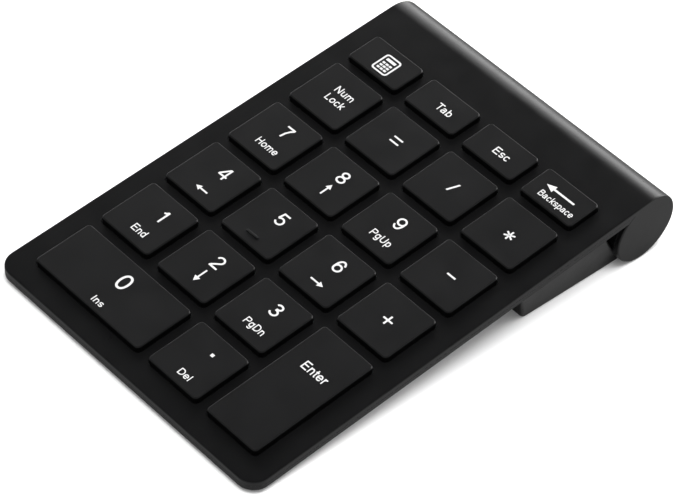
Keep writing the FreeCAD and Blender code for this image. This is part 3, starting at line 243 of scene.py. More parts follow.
def metal(name, dark, light, rough=(0.2, 0.4)):
    """Plated or drawn metal with its grain along x and polished edges."""
    mat = new_material(name)
    stretched = mat.add("Mapping", {"Scale": (60, 2600, 2600), "Vector": mat.coord})
    lines = mat.noise(scale=1.0, detail=4.0, roughness=0.6, vector=stretched.outputs["Vector"])
    blotch = mat.noise(scale=260.0, detail=4.0, roughness=0.6)
    color = mat.mix(mat.remap(blotch), dark, light)
    color = mat.mix(mat.times(mat.edge(radius=0.00025), amount=0.4), color,
                    tint(light, gain=1.25, limit=1.0))
    normal = mat.bump(lines, strength=0.25, distance=0.00001)
    roughness = mat.remap(lines, start=0.25, end=0.75, to=rough)
    return mat.finish(mat.bsdf(color, roughness, normal, metallic=1.0))


def rubber(name, dark, light, rough=(0.7, 0.9)):
    """Mottled rubber with fine light specks."""
    mat = new_material(name)
    specks = mat.noise(scale=3600.0, roughness=0.7)
    mottle = mat.noise(scale=300.0, detail=4.0, roughness=0.6)
    color = mat.mix(mat.remap(mottle), dark, light)
    dust = mat.remap(specks, start=0.66, end=0.78)
    color = mat.mix(mat.times(dust, amount=0.25), color, tint(light, gain=3, lift=0.03))
    normal = mat.bump(specks, strength=0.45, distance=0.00004)
    roughness = mat.remap(specks, start=0.2, end=0.8, to=rough)
    return mat.finish(mat.bsdf(color, roughness, normal, ior=1.45))


def film(name, tone, trace):
    """Membrane film with printed silver-ink lines."""
    mat = new_material(name)
    wave = mat.add("TexWave", {"Scale": 330.0, "Distortion": 0.0, "Vector": mat.coord},
                   wave_type="BANDS", bands_direction="X")
    lines = mat.remap(wave.outputs["Fac"], start=0.86, end=0.92)
    color = mat.mix(lines, tone, trace)
    haze = mat.times(mat.noise(scale=120.0, detail=4.0), amount=0.2)
    color = mat.mix(haze, color, tint(tone, gain=0.7))
    normal = mat.bump(mat.noise(scale=500.0), strength=0.15, distance=0.00003)
    rough = mat.remap(mat.noise(scale=200.0), start=0.2, end=0.8, to=(0.2, 0.4))
    return mat.finish(mat.bsdf(color, rough, normal))


def laminate(name, copper, mask, stain):
    """Circuit board: solder mask with copper runs showing through it."""
    mat = new_material(name)
    borders = mat.cells(scale=420.0, feature="DISTANCE_TO_EDGE", distance="CHEBYCHEV")
    runs = mat.remap(borders, start=0.06, end=0.10)
    color = mat.mix(runs, copper, mask)
    color = mat.mix(mat.times(mat.noise(scale=900.0), amount=0.3), color, stain)
    normal = mat.bump(runs, strength=0.3, distance=0.00003)
    rough = mat.remap(mat.noise(scale=600.0), start=0.2, end=0.8, to=(0.28, 0.42))
    return mat.finish(mat.bsdf(color, rough, normal))


def wrapped(name, left, right):
    """Cell wrap: shrink film in two colour bands along x, with soft ripples."""
    mat = new_material(name)
    place = mat.add("SeparateXYZ", {0: mat.coord})
    band = mat.remap(place.outputs["X"], start=-0.0015, end=-0.0013)
    color = mat.mix(band, left, right)
    stain = mat.times(mat.noise(scale=700.0, detail=4.0), amount=0.25)
    color = mat.mix(stain, color, tint(left, gain=0.5))
    normal = mat.bump(mat.noise(scale=350.0), strength=0.25, distance=0.00005)
    rough = mat.remap(mat.noise(scale=250.0), start=0.2, end=0.8, to=(0.18, 0.35))
    return mat.finish(mat.bsdf(color, rough, normal, Coat_Weight=0.4))


COVER = moulded("cover_matt_black", dark=(0.0024, 0.0024, 0.0026),
                light=(0.0033, 0.0033, 0.0035), rough=(0.27, 0.35))
KEYCAP = moulded("keycap_satin_black", dark=(0.0038, 0.0038, 0.0040),
                 light=(0.0050, 0.0050, 0.0053), rough=(0.32, 0.40), grain=7200.0,
                 depth=0.00002, strength=0.28, wear_and_highlight=0.55, painted_wall_shade=0.3)
INK = ink("legend_ink", tone=(0.56, 0.56, 0.56))

SLOTS = {
    "cover_plastic": COVER,
    "keycap_plastic": KEYCAP,
    "grip_plastic": moulded("grip_black", dark=(0.008, 0.008, 0.0085),
                            light=(0.012, 0.012, 0.0125), wear_and_highlight=0.5),
    "knob_plastic": moulded("knob_grey", dark=(0.20, 0.20, 0.20), light=(0.27, 0.27, 0.27),
                            wear_and_highlight=0.3),
    "chip_epoxy": moulded("chip_epoxy", dark=(0.012, 0.012, 0.013), light=(0.02, 0.02, 0.021),
                          grain=9000.0),
    "chip_ceramic": moulded("chip_ceramic", dark=(0.20, 0.14, 0.09), light=(0.30, 0.22, 0.14),
                            grain=9000.0),
    "tongue_plastic": moulded("tongue_white", dark=(0.55, 0.55, 0.54),
                              light=(0.68, 0.68, 0.66), wear_and_highlight=0.1),
    "lead_red": moulded("lead_red", dark=(0.34, 0.01, 0.01), light=(0.46, 0.02, 0.02),
                        rough=(0.25, 0.4)),
    "lead_black": moulded("lead_black", dark=(0.012, 0.012, 0.012), light=(0.02, 0.02, 0.02),
                          rough=(0.25, 0.4)),
    "foot_rubber": rubber("foot_rubber", dark=(0.018, 0.018, 0.018),
                          light=(0.030, 0.030, 0.030)),
    "dome_silicone": rubber("dome_silicone", dark=(0.50, 0.50, 0.48), light=(0.62, 0.62, 0.60),
                            rough=(0.35, 0.55)),
    "cell_wrap": wrapped("cell_wrap", left=(0.02, 0.16, 0.10), right=(0.55, 0.42, 0.10)),
    "board_laminate": laminate("board_laminate", copper=(0.05, 0.20, 0.08),
                               mask=(0.012, 0.07, 0.03), stain=(0.02, 0.10, 0.05)),
    "membrane_film": film("membrane_film", tone=(0.42, 0.48, 0.50), trace=(0.70, 0.70, 0.70)),
    "spring_steel": metal("spring_steel", dark=(0.52, 0.51, 0.48), light=(0.68, 0.67, 0.64)),
    "can_steel": metal("can_steel", dark=(0.55, 0.55, 0.55), light=(0.70, 0.70, 0.70)),
    "screw_steel": metal("screw_steel", dark=(0.16, 0.16, 0.17), light=(0.28, 0.28, 0.29),
                         rough=(0.25, 0.45)),
    "plug_steel": metal("plug_steel", dark=(0.62, 0.62, 0.63), light=(0.78, 0.78, 0.79)),
    "contact_gold": metal("contact_gold", dark=(0.75, 0.52, 0.20), light=(0.92, 0.70, 0.32)),
}

# ---------------------------------------------------------------- CAD pieces

def shade(obj):
    """Smooth shading inside each face of the moulding, sharp where two faces meet."""
    for polygon in obj.data.polygons:
        polygon.use_smooth = True
    weld = obj.modifiers.new("weld", "WELD")
    weld.merge_threshold = 2e-6
    split = obj.modifiers.new("split", "EDGE_SPLIT")
    split.split_angle = math.radians(28.0)
    split.use_edge_sharp = False
    normals = obj.modifiers.new("normals", "WEIGHTED_NORMAL")
    normals.mode = "FACE_AREA"
    normals.weight = 50
    normals.keep_sharp = False


slot_of = {part["node"]: part["material_slot"] for part in frame["record"]["subparts"]}
for name, obj in frame["nodes"].items():
    obj.data.materials.clear()
    obj.data.materials.append(SLOTS[slot_of[name]])
    attributes = obj.data.attributes
    if "custom_normal" in attributes:
        attributes.remove(attributes["custom_normal"])
    shade(obj)

# ---------------------------------------------------------------- domes


def key_centre(node):
    """Middle of a key's bounding box, in deck coordinates."""
    places = [vertex.co for vertex in node.data.vertices]
    middle = [(min(co[k] for co in places) + max(co[k] for co in places)) / 2 for k in range(3)]
    return TO_DECK @ (Vector(middle) / MM)


def dome_mesh(name, faces):
    """Mesh of its own made of some faces of another bmesh."""
    work = bmesh.new()
    copies = {}
    for face in faces:
        for vertex in face.verts:
            if vertex not in copies:
                copies[vertex] = work.verts.new(vertex.co)
        work.faces.new([copies[vertex] for vertex in face.verts])
    return finished_mesh(name, work)


def finished_mesh(name, work):
    mesh = bpy.data.meshes.new(name)
    work.normal_update()
    work.to_mesh(mesh)
    work.free()
    return mesh


def build_domes():
    """One silicone dome per key, cut from the sheet and carried by the case."""
    centres = {name: key_centre(frame["nodes"][name]) for name in sorted(frame["nodes"])
               if name.startswith("key_") and name != "key_domes"}
    sheet = bmesh.new()
    sheet.from_mesh(frame["nodes"]["key_domes"].data)
    bmesh.ops.remove_doubles(sheet, verts=sheet.verts, dist=2e-7)
    faces_of = {key: [] for key in centres}
    for face in sheet.faces:
        place = TO_DECK @ (face.verts[0].co / MM)
        nearest = min(centres, key=lambda name: (centres[name].x - place.x) ** 2
                      + (centres[name].y - place.y) ** 2)
        faces_of[nearest].append(face)
    for key, centre in centres.items():
        name = "dome_" + key
        dome = add_object(name, dome_mesh(name, faces_of[key]), SLOTS["dome_silicone"])
        shade(dome)
        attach(dome, "case")
        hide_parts("key_domes")
        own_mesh(dome)
    sheet.free()


build_domes()

# ---------------------------------------------------------------- characters

# Characters are drawn in units of the height of a capital, with y = 0 on the baseline.
X_HEIGHT = 0.735
DIGIT_WEIGHT, LETTER_WEIGHT = 0.124, 0.138   # stroke widths
GRID_STEP = 0.0125
OUTLINE_TOLERANCE = 0.0022


def arc(cx, cy, rx, ry, start, end, square=1.0):
    """Points along an ellipse (square > 1 fills its corners out), angles in degrees."""
    count = max(3, int(abs(end - start) / 9.0))
    power = 1.0 / square
    points = []
    for i in range(count + 1):
        angle = math.radians(start + (end - start) * i / count)
        c, s = math.cos(angle), math.sin(angle)
        points.append((cx + rx * math.copysign(abs(c) ** power, c),
                       cy + ry * math.copysign(abs(s) ** power, s)))
    return points


def upright(x, low=0, high=1):
    return [(x, low), (x, high)]


def level(y, start, end):
    return [(start, y), (end, y)]


def all_strokes(weight):
    """Advance width and centre lines of each character of a plain sans-serif."""
    half = weight / 2
    top = 1 - half
    mid = X_HEIGHT / 2
    small_top = X_HEIGHT - half
    cap_left, cap_right = 0.11 + half, 0.895 - half
    left, right, a_right, m_right = 0.092 + half, 0.684 - half, 0.655 - half, 1.075 - half
    m_mid = (left + m_right) / 2
    m_arch = (m_mid - left) / 2
    s_arch = (X_HEIGHT - weight) / 4
    centre, reach = (left + right) / 2, (right - left) / 2

    def bowl(cx, cy, rx, ry, start=0, end=360, square=1.0):
        """Arc given by the outer radii of its stroke."""
        return arc(cx, cy, rx - half, ry - half, start, end, square)

    d_bowl = bowl(0.366, mid, 0.315, mid, square=1.04)
    b_bowl = bowl(0.41, mid, 0.315, mid, square=1.04)
    cap_sides = [upright(cap_left), upright(cap_right)]
    glyphs = {
        "0": (0.776, [bowl(0.388, 0.5, 0.325, 0.5, square=1.12)]),
        "1": (0.776, [upright(0.43), [(0.17, 0.745 + half * 0.3), (0.31, 0.815),
                                      (0.43 - half * 0.3, 0.99)]]),
        "2": (0.776, [bowl(0.375, 0.70, 0.315, 0.30, 172, -38)
                      + [(0.30, 0.30), (0.125, 0.10 + half * 0.2)],
                      level(half, 0.055, 0.70)]),
        "3": (0.776, [bowl(0.37, 0.755, 0.29, 0.245, 160, -90) + [(0.30, 0.755 - 0.245 + half)],
                      [(0.30, 0.565 - half)] + bowl(0.37, 0.283, 0.32, 0.283, 90, -165)]),
        "4": (0.776, [upright(0.54), [(0.51, 0.99), (0.075, 0.31)],
                      level(0.235 + half, 0.035, 0.72)]),
        "5": (0.776, [level(top, 0.66, 0.15), [(0.222, 1.06), (0.125, 0.49)],
                      [(0.125, 0.50)] + bowl(0.375, 0.325, 0.325, 0.325, 138, -160)]),
        "6": (0.776, [bowl(0.395, 0.325, 0.325, 0.325),
                      bowl(0.405, 0.47, 0.335, 0.53, 197, 28)]),
        "7": (0.776, [level(top, 0.065, 0.71),
                      [(0.675, top - 0.02), (0.50, 0.70), (0.38, 0.42), (0.31, 0.0)]]),
        "8": (0.776, [bowl(0.388, 0.745, 0.285, 0.255), bowl(0.388, 0.285, 0.325, 0.285)]),
        "E": (0.931, [upright(0.11 + half), level(top, 0.11, 0.845), level(0.52, 0.11, 0.80),
                      level(half, 0.11, 0.865)]),
        "I": (0.388, [upright(0.194)]),
        "D": (1.0, [upright(0.108 + half),
                    level(top, 0.11, 0.45) + bowl(0.45, 0.5, 0.49, 0.5, 90, -90, 1.08)
                    + [(0.11, half)]]),
        "P": (0.931, [upright(0.107 + half),
                      [(0.11, top)] + bowl(0.57, 0.705, 0.305, 0.295, 90, -90, 1.05)
                      + [(0.11, 0.41 + half)]]),
        "B": (0.931, [upright(0.107 + half),
                      [(0.11, top)] + bowl(0.55, 0.755, 0.285, 0.245, 90, -90, 1.05)
                      + [(0.11, 0.51 + half)],
                      [(0.11, 0.51 + half)]
                      + arc(0.57, 0.28 + half / 2, 0.31 - half, 0.28 - half / 2, 90, -90, 1.05)
                      + [(0.11, half)]]),
        "H": (1.0, cap_sides + [level(0.53, cap_left, cap_right)]),
        "N": (1.0, cap_sides + [[(cap_left, 0.98), (cap_right, 0.02)]]),
        "U": (1.0, [[(cap_left, 1)]
                    + arc((cap_left + cap_right) / 2, 0.36, (cap_right - cap_left) / 2,
                          0.36 - half, 180, 360)
                    + [(cap_right, 1)]]),
        "L": (0.776, [upright(0.10 + half), level(half, 0.10, 0.72)]),
        "T": (0.80, [level(top, 0.03, 0.83), upright(0.43)]),
        "o": (0.776, [bowl(0.388, mid, 0.34, mid, square=1.04)]),
        "c": (0.69, [bowl(0.37, mid, 0.32, mid, 38, 322, 1.04)]),
        "e": (0.776, [bowl(0.388, mid, 0.335, mid, 0, 325, 1.04),
                      level(mid, 0.06 + half, 0.716)]),
        "b": (0.776, [b_bowl, upright(left)]),
        "p": (0.776, [b_bowl, upright(left, -0.285, X_HEIGHT)]),
        "d": (0.776, [d_bowl, upright(right)]),
        "g": (0.776, [d_bowl, [(right, X_HEIGHT), (right, -0.05)]
                      + arc((0.08 + half + right) / 2, -0.05, (right - 0.08 - half) / 2,
                            0.24 - half, 0, -160)]),
        "l": (0.31, [upright(0.155)]),
        "n": (0.776, [upright(left, 0, X_HEIGHT),
                      [(left, 0.40)] + arc(centre, 0.43, reach, small_top - 0.43, 180, 0)
                      + [(right, 0)]]),
        "u": (0.776, [upright(right, 0, X_HEIGHT),
                      [(left, X_HEIGHT)] + arc(centre, 0.305, reach, 0.305 - half, 180, 360)
                      + [(right, 0.34)]]),
        "m": (1.16, [upright(left, 0, X_HEIGHT)]
              + [[(start, 0.42)]
                 + arc(start + m_arch, 0.45, m_arch, small_top - 0.45, 180, 0) + [(end, 0)]
                 for start, end in ((left, m_mid), (m_mid, m_right))]),
        "r": (0.47, [upright(left, 0, X_HEIGHT),
                     [(left, 0.36)]
                     + arc(left + 0.27, 0.40, 0.27, small_top - 0.40, 180, 82)]),
        "s": (0.69, [arc(0.345, small_top - s_arch, 0.295 - half, s_arch, 22, 270)
                     + arc(0.345, half + s_arch, 0.295 - half, s_arch, 90, -158)]),
        "t": (0.40, [[(0.19, 0.93), (0.19, 0.20)]
                     + arc(0.33, 0.17 + half * 0.3, 0.14, 0.17 - half * 0.7, 180, 275),
                     level(small_top, 0.02, 0.385)]),
        "k": (0.69, [upright(left), [(left, 0.22), (0.64 - half * 0.3, X_HEIGHT)],
                     [(0.30, 0.40), (0.66 - half * 0.4, 0.0)]]),
        "a": (0.776, [arc(0.375, 0.50, a_right - 0.375, small_top - 0.50, 168, 0)
                      + [(a_right, 0.17), (a_right + 0.03, 0.0)],
                      [(a_right, 0.44), (0.36, 0.40)] + bowl(0.28, 0.225, 0.235, 0.225, 95, 270)
                      + [(0.40, 0.02 + half), (a_right, 0.24)]]),
    }
    advance, six = glyphs["6"]
    glyphs["9"] = (advance, [[(0.776 - x, 1 - y) for x, y in path] for path in six])
    return glyphs


def stroke_distance(path, half, grid_x, grid_y):
    """Signed distance to a stroke's edge, negative inside; open ends are cut square."""
    along = [0.0]
    for start, end in zip(path, path[1:]):
        along.append(along[-1] + math.dist(start, end))
    cuts = []
    if math.dist(path[0], path[-1]) >= 1e-6:
        margin = 2.2 * half
        for tip, inner, near in (
                (path[0], path[1], [s < margin for s in along]),
                (path[-1], path[-2], [s > along[-1] - margin for s in along])):
            span = math.dist(tip, inner)
            outward = ((tip[0] - inner[0]) / span, (tip[1] - inner[1]) / span)
            cuts.append((tip, outward, near))
    best = np.full(grid_x.shape, 9.0)
    for k, (start, end) in enumerate(zip(path, path[1:])):
        dx, dy = end[0] - start[0], end[1] - start[1]
        squared = dx * dx + dy * dy
        if squared < 1e-12:
            continue
        share = ((grid_x - start[0]) * dx + (grid_y - start[1]) * dy) / squared
        share = np.clip(share, 0, 1)
        distance = np.hypot(grid_x - start[0] - share * dx, grid_y - start[1] - share * dy) - half
        for tip, outward, near in cuts:
            if near[k] or near[k + 1]:
                beyond = (grid_x - tip[0]) * outward[0] + (grid_y - tip[1]) * outward[1]
                distance = np.maximum(distance, beyond)
        best = np.minimum(best, distance)
    return best


# Outline pieces in a grid cell, by which corners are inside (1, 2, 4, 8 anticlockwise from the
# lower left): pairs of cell edges, 0 bottom, 1 right, 2 top, 3 left.
CELL_LINKS = {
    1: [(0, 3)], 2: [(1, 0)], 3: [(1, 3)], 4: [(2, 1)], 5: [(0, 3), (2, 1)], 6: [(2, 0)],
    7: [(2, 3)], 8: [(3, 2)], 9: [(0, 2)], 10: [(1, 0), (3, 2)], 11: [(1, 2)], 12: [(3, 1)],
    13: [(0, 1)], 14: [(3, 0)]}


def outlines(char, advance, paths, half):
    """Closed outlines of a character: its strokes' common edge, followed over a fine grid."""
    x = np.arange(-0.06, max(advance, 0.3) + 0.12, GRID_STEP)
    y = np.arange(-0.34, 1.06, GRID_STEP)
    grid_x, grid_y = np.meshgrid(x, y, indexing="ij")
    field = np.full(grid_x.shape, 9.0)
    for path in paths:
        field = np.minimum(field, stroke_distance(path, half, grid_x, grid_y))
    if char not in "gp":
        field = np.maximum(field, -grid_y)
    field = np.maximum(field, grid_y - 1.0)
    field = np.where(np.abs(field) < 1e-7, 1e-7, field)
    inside = field < 0
    corners = (inside[:-1, :-1] * 1 + inside[1:, :-1] * 2 + inside[1:, 1:] * 4
               + inside[:-1, 1:] * 8)
    # a grid edge is (i, j, 0) when it runs along x and (i, j, 1) when it runs along y
    links = {}
    for i, j in zip(*np.nonzero((corners > 0) & (corners < 15))):
        edges = ((i, j, 0), (i + 1, j, 1), (i, j + 1, 0), (i, j, 1))
        for start, end in CELL_LINKS[int(corners[i, j])]:
            links[edges[start]] = edges[end]

    def crossing(i, j, along_y):
        along_x = 1 - along_y
        here, there = field[i, j], field[i + along_x, j + along_y]
        share = here / (here - there)
        return (x[i] + along_x * GRID_STEP * share, y[j] + along_y * GRID_STEP * share)

    loops = []
    while links:
        first = next(iter(links))
        loop = [first]
        edge = links.pop(first)
        while edge != first:
            loop.append(edge)
            edge = links.pop(edge)
        loops.append(thinned([crossing(*edge) for edge in loop]))
    return loops


def thinned(loop):
    """Drop points of a loop that lie close to the line between the neighbours that stay."""
    def thin(run):
        if len(run) < 3:
            return run
        (x0, y0), (x1, y1) = run[0], run[-1]
        length = math.dist(run[0], run[-1]) or 1e-9
        worst, at = 0.0, 0
        for i in range(1, len(run) - 1):
            offset = abs((x1 - x0) * (run[i][1] - y0) - (y1 - y0) * (run[i][0] - x0)) / length
            if offset > worst:
                worst, at = offset, i
        if worst < OUTLINE_TOLERANCE:
            return [run[0], run[-1]]
        return thin(run[:at + 1])[:-1] + thin(run[at:])

    far = max(range(len(loop)), key=lambda i: math.dist(loop[0], loop[i]))
    return thin(loop[:far + 1])[:-1] + thin(loop[far:] + [loop[0]])[:-1]


STROKES = {weight: all_strokes(weight) for weight in (DIGIT_WEIGHT, LETTER_WEIGHT)}
GLYPHS = {}                              # advance and outlines of the characters used so far


def glyph(char):
    if char not in GLYPHS:
        weight = DIGIT_WEIGHT if char.isdigit() else LETTER_WEIGHT
        advance, paths = STROKES[weight][char]
        GLYPHS[char] = advance, outlines(char, advance, paths, weight / 2)
    return GLYPHS[char]


def text_mesh(text):
    """Word as a thin closed mesh: characters side by side, filled by a 2D curve."""
    curve = bpy.data.curves.new("glyphs", "CURVE")
    curve.dimensions = "2D"
    curve.fill_mode = "BOTH"
    curve.extrude = 0.01
    pen = 0.0
    for char in text:
        advance, loops = glyph(char)
        for points in loops:
            spline = curve.splines.new("POLY")
            spline.points.add(len(points) - 1)
            for k, (x, y) in enumerate(points):
                spline.points[k].co = (x + pen, y, 0.0, 1.0)
            spline.use_cyclic_u = True
        pen += advance
    obj = add_object("glyphs", curve)
    depsgraph = bpy.context.evaluated_depsgraph_get()
    mesh = bpy.data.meshes.new_from_object(obj.evaluated_get(depsgraph))
    bpy.data.objects.remove(obj)
    bpy.data.curves.remove(curve)
    return mesh


# ---------------------------------------------------------------- legends

KEY_TOP = 1.55                           # w of the key tops, mm
INK_LOW, INK_HIGH = KEY_TOP + 0.002, KEY_TOP + 0.016
ORIGIN_U, ORIGIN_V = -20.625, 6.3        # legend places are measured from here, mm


def print_on_key(name, key, mesh):
    obj = add_object(name, mesh, INK)
    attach(obj, "key_" + key)


def text_legend(name, key, text, x, y, cap, width):
    """Text centred on x, y; width None keeps the proportions of the characters."""
    mesh = text_mesh(text)
    across = [vertex.co.x for vertex in mesh.vertices]
    low, high = min(across), max(across)
    middle = (low + high) / 2
    stretch = cap if width is None else width / (high - low)
    for vertex in mesh.vertices:
        point = vertex.co
        vertex.co = deck(x + ORIGIN_U + (point.x - middle) * stretch,
                         y + ORIGIN_V + (point.y - 0.5) * cap,
                         INK_HIGH if point.z > 0 else INK_LOW)
    mesh.name = name
    work = bmesh.new()
    work.from_mesh(mesh)
    bmesh.ops.remove_doubles(work, verts=work.verts, dist=1e-7)
    work.to_mesh(mesh)
    work.free()
    print_on_key(name, key, mesh)


def ink_rims(work, outline):
    """Lower and upper ring of vertices of an inked outline."""
    return [[work.verts.new(deck(x + ORIGIN_U, y + ORIGIN_V, w)) for x, y in outline]
            for w in (INK_LOW, INK_HIGH)]


def add_prisms(work, shapes):
    for outline in shapes:
        low, high = ink_rims(work, outline)
        work.faces.new(high)
        work.faces.new(list(reversed(low)))
        for i in range(len(outline)):
            k = (i + 1) % len(outline)
            work.faces.new((low[i], low[k], high[k], high[i]))


def add_frame(work, outer, inner):
    """Ring between two outlines of equal point count."""
    outer_low, outer_high = ink_rims(work, outer)
    inner_low, inner_high = ink_rims(work, inner)
    for i in range(len(outer)):
        k = (i + 1) % len(outer)
        work.faces.new((outer_high[i], outer_high[k], inner_high[k], inner_high[i]))
        work.faces.new((outer_low[k], outer_low[i], inner_low[i], inner_low[k]))
        work.faces.new((outer_low[i], outer_low[k], outer_high[k], outer_high[i]))
        work.faces.new((inner_low[k], inner_low[i], inner_high[i], inner_high[k]))


def bar(x0, y0, x1, y1):
    return [(x0, y0), (x1, y0), (x1, y1), (x0, y1)]


def arrow(cx, cy, length, half_head, head, stem, direction):
    """Arrow outline pointing along direction (unit x, y)."""
    dx, dy = direction
    tip, neck = length / 2, length / 2 - head
    points = [(-tip, -stem / 2), (neck, -stem / 2), (neck, -half_head), (tip, 0.0),
              (neck, half_head), (neck, stem / 2), (-tip, stem / 2)]
    return [(cx + a * dx - b * dy, cy + a * dy + b * dx) for a, b in points]


def plus(cx, cy, reach, half):
    return [(cx + a, cy + b) for a, b in (
        (-half, -reach), (half, -reach), (half, -half), (reach, -half), (reach, half),
        (half, half), (half, reach), (-half, reach), (-half, half), (-reach, half),
        (-reach, -half), (-half, -half))]


def star(cx, cy):
    """Six separate rays, the first one pointing up the deck."""
    ray = ((-1.2, 0.21), (-0.16, 1.38), (0.16, 1.38), (1.2, 0.21))    # angle in rad, radius
    turns = [math.radians(90 + 60 * i) for i in range(6)]
    return [[(cx + math.cos(turn + angle) * radius, cy + math.sin(turn + angle) * radius)
             for angle, radius in ray] for turn in turns]


def round_rect(cx, cy, width, height, radius, steps=5):
    points = []
    for side_x, side_y, start in ((1, -1, -90), (1, 1, 0), (-1, 1, 90), (-1, -1, 180)):
        for i in range(steps + 1):
            angle = math.radians(start + 90 * i / steps)
            points.append((cx + side_x * (width / 2 - radius) + radius * math.cos(angle),
                           cy + side_y * (height / 2 - radius) + radius * math.sin(angle)))
    return points


def calculator_legend(cx, cy):
    """Rounded frame around a display bar and three rows of three buttons."""
    solids = [bar(cx - 1.45, cy + 1.15, cx + 1.45, cy + 1.95)]
    for row in range(3):
        for column in range(3):
            dx, dy = column * 1.05, row * 0.95
            solids.append(bar(cx - 1.45 + dx, cy - 2.0 + dy, cx - 0.65 + dx, cy - 1.4 + dy))
    work = bmesh.new()
    add_frame(work, round_rect(cx, cy, width=4.9, height=6.0, radius=0.9),
              round_rect(cx, cy, width=4.0, height=5.1, radius=0.5))
    add_prisms(work, solids)
    name = "legend_calculator"
    print_on_key(name, "calculator", finished_mesh(name, work))


DIGIT = 3.82
# legend, key, text, centre x, centre y, height of capitals, width (None: unstretched)
TEXTS = (
    ("0", "0", "0", 2.72, 10.2, 4.6, None),
    ("ins", "0", "Ins", 3.05, 2.42, 1.8, 3.3),
    ("del", "decimal", "Del", 31.28, 2.92, 1.85, 3.5),
    ("enter", "enter", "Enter", 49.75, 24.05, 2.45, 7.2),
    ("1", "1", "1", -6.3, 29.2, DIGIT, None),
    ("end", "1", "End", -6.67, 22.72, 2.05, 4.2),
    ("2", "2", "2", 12.3, 29.35, DIGIT, None),
    ("3", "3", "3", 31.12, 29.68, DIGIT, None),
    ("pgdn", "3", "PgDn", 31.28, 23.13, 2.05, 5.9),
    ("4", "4", "4", -6.72, 48.28, DIGIT, None),
    ("5", "5", "5", 12.28, 48.45, DIGIT, None),
    ("6", "6", "6", 31.08, 48.58, DIGIT, None),
    ("7", "7", "7", -6.78, 67.3, DIGIT, None),
    ("home", "7", "Home", -6.6, 61.2, 2.05, 6.5),
    ("8", "8", "8", 12.2, 67.35, DIGIT, None),
    ("9", "9", "9", 30.95, 67.35, DIGIT, None),
    ("pgup", "9", "PgUp", 31.14, 61.32, 2.05, 6.05),
    ("num", "num_lock", "Num", -6.77, 85.7, 2.15, 5.5),
    ("lock", "num_lock", "Lock", -6.6, 82.4, 2.15, 5.65),
    ("tab", "tab", "Tab", 12.32, 99.4, 2.25, 4.6),
    ("esc", "esc", "Esc", 31.08, 99.5, 2.25, 4.55),
    ("backspace", "backspace", "Backspace", 50.12, 97.8, 1.9, 10.3),
)
# legend, key, outlines
SHAPES = (
    ("decimal", "decimal", [bar(30.86, 10.38, 31.7, 11.22)]),
    ("down", "2", [arrow(12.3, 23.95, 4.2, 0.85, 1.45, 0.42, (0, -1))]),
    ("left", "4", [arrow(-6.75, 41.27, 3.7, 0.8, 1.4, 0.42, (-1, 0))]),
    ("right", "6", [arrow(31.05, 41.77, 3.9, 0.8, 1.4, 0.42, (1, 0))]),
    ("up", "8", [arrow(12.12, 62.17, 3.8, 0.8, 1.4, 0.42, (0, 1))]),
    ("plus", "plus", [plus(49.5, 45.9, reach=1.4, half=0.23)]),
    ("minus", "minus", [bar(48.45, 64.85, 50.95, 65.33)]),
    ("equals", "equals", [bar(10.5, 84.9, 13.25, 85.35), bar(10.5, 83.35, 13.25, 83.8)]),
    ("divide", "divide", [[(30.1, 82.35), (30.6, 82.35), (31.85, 85.6), (31.35, 85.6)]]),
    ("multiply", "multiply", star(49.82, 83.19)),
    ("back_arrow", "backspace", [arrow(48.75, 100.6, 8.6, 1.05, 2.4, 0.55, (-1, 0))]),
)

for name, *row in TEXTS:
    text_legend("legend_" + name, *row)
for name, key, shapes in SHAPES:
    work = bmesh.new()
    add_prisms(work, shapes)
    print_on_key("legend_" + name, key, finished_mesh("legend_" + name, work))
calculator_legend(-7.2, 99.4)

# ---------------------------------------------------------------- floor

FLOOR_HALF = 3.0                         # m
# Two openings under the object, in metres: half width and the y ranges.
OPENING_HALF_WIDTH = 0.0395
FRONT_OPENING = (-0.062, 0.004)
REAR_OPENING = (0.0205, 0.0515)


def floor_paper():
    """White paper, darker in mirrored rays, clear from below and in its two openings."""
    mat = new_material("floor_paper")
    glossy = mat.add("LightPath").outputs["Is Glossy Ray"]
    color = mat.mix(mat.remap(mat.noise(scale=9.0)), (0.90, 0.90, 0.90), (0.93, 0.93, 0.93))
    color = mat.mix(glossy, color, (0.20, 0.20, 0.20))
    relief = mat.bump(mat.noise(scale=900.0), strength=0.05, distance=0.00002)
    paper = mat.bsdf(color, 0.9, relief, Specular_IOR_Level=0.0)
    clear = mat.add("BsdfTransparent").outputs[0]
    geometry = mat.add("NewGeometry")
    place = mat.add("SeparateXYZ", {0: geometry.outputs["Position"]})
    across = mat.math("LESS_THAN", mat.math("ABSOLUTE", place.outputs["X"]), OPENING_HALF_WIDTH)
    ranges = [mat.between(place.outputs["Y"], *span) for span in (FRONT_OPENING, REAR_OPENING)]
    openings = mat.times(across, mat.math("ADD", *ranges))
    see_through = mat.math("MAXIMUM", geometry.outputs["Backfacing"],
                           mat.times(openings, glossy))
    return mat.finish(mat.add("MixShader", {0: see_through, 1: paper, 2: clear}).outputs[0])


paper = floor_paper()
floor_mesh = bpy.data.meshes.new("floor")
floor_mesh.from_pydata([(x, y, 0) for x, y in bar(-FLOOR_HALF, -FLOOR_HALF,
                                                 FLOOR_HALF, FLOOR_HALF)], [], [(0, 1, 2, 3)])
add_object("floor", floor_mesh, paper)

# ---------------------------------------------------------------- world

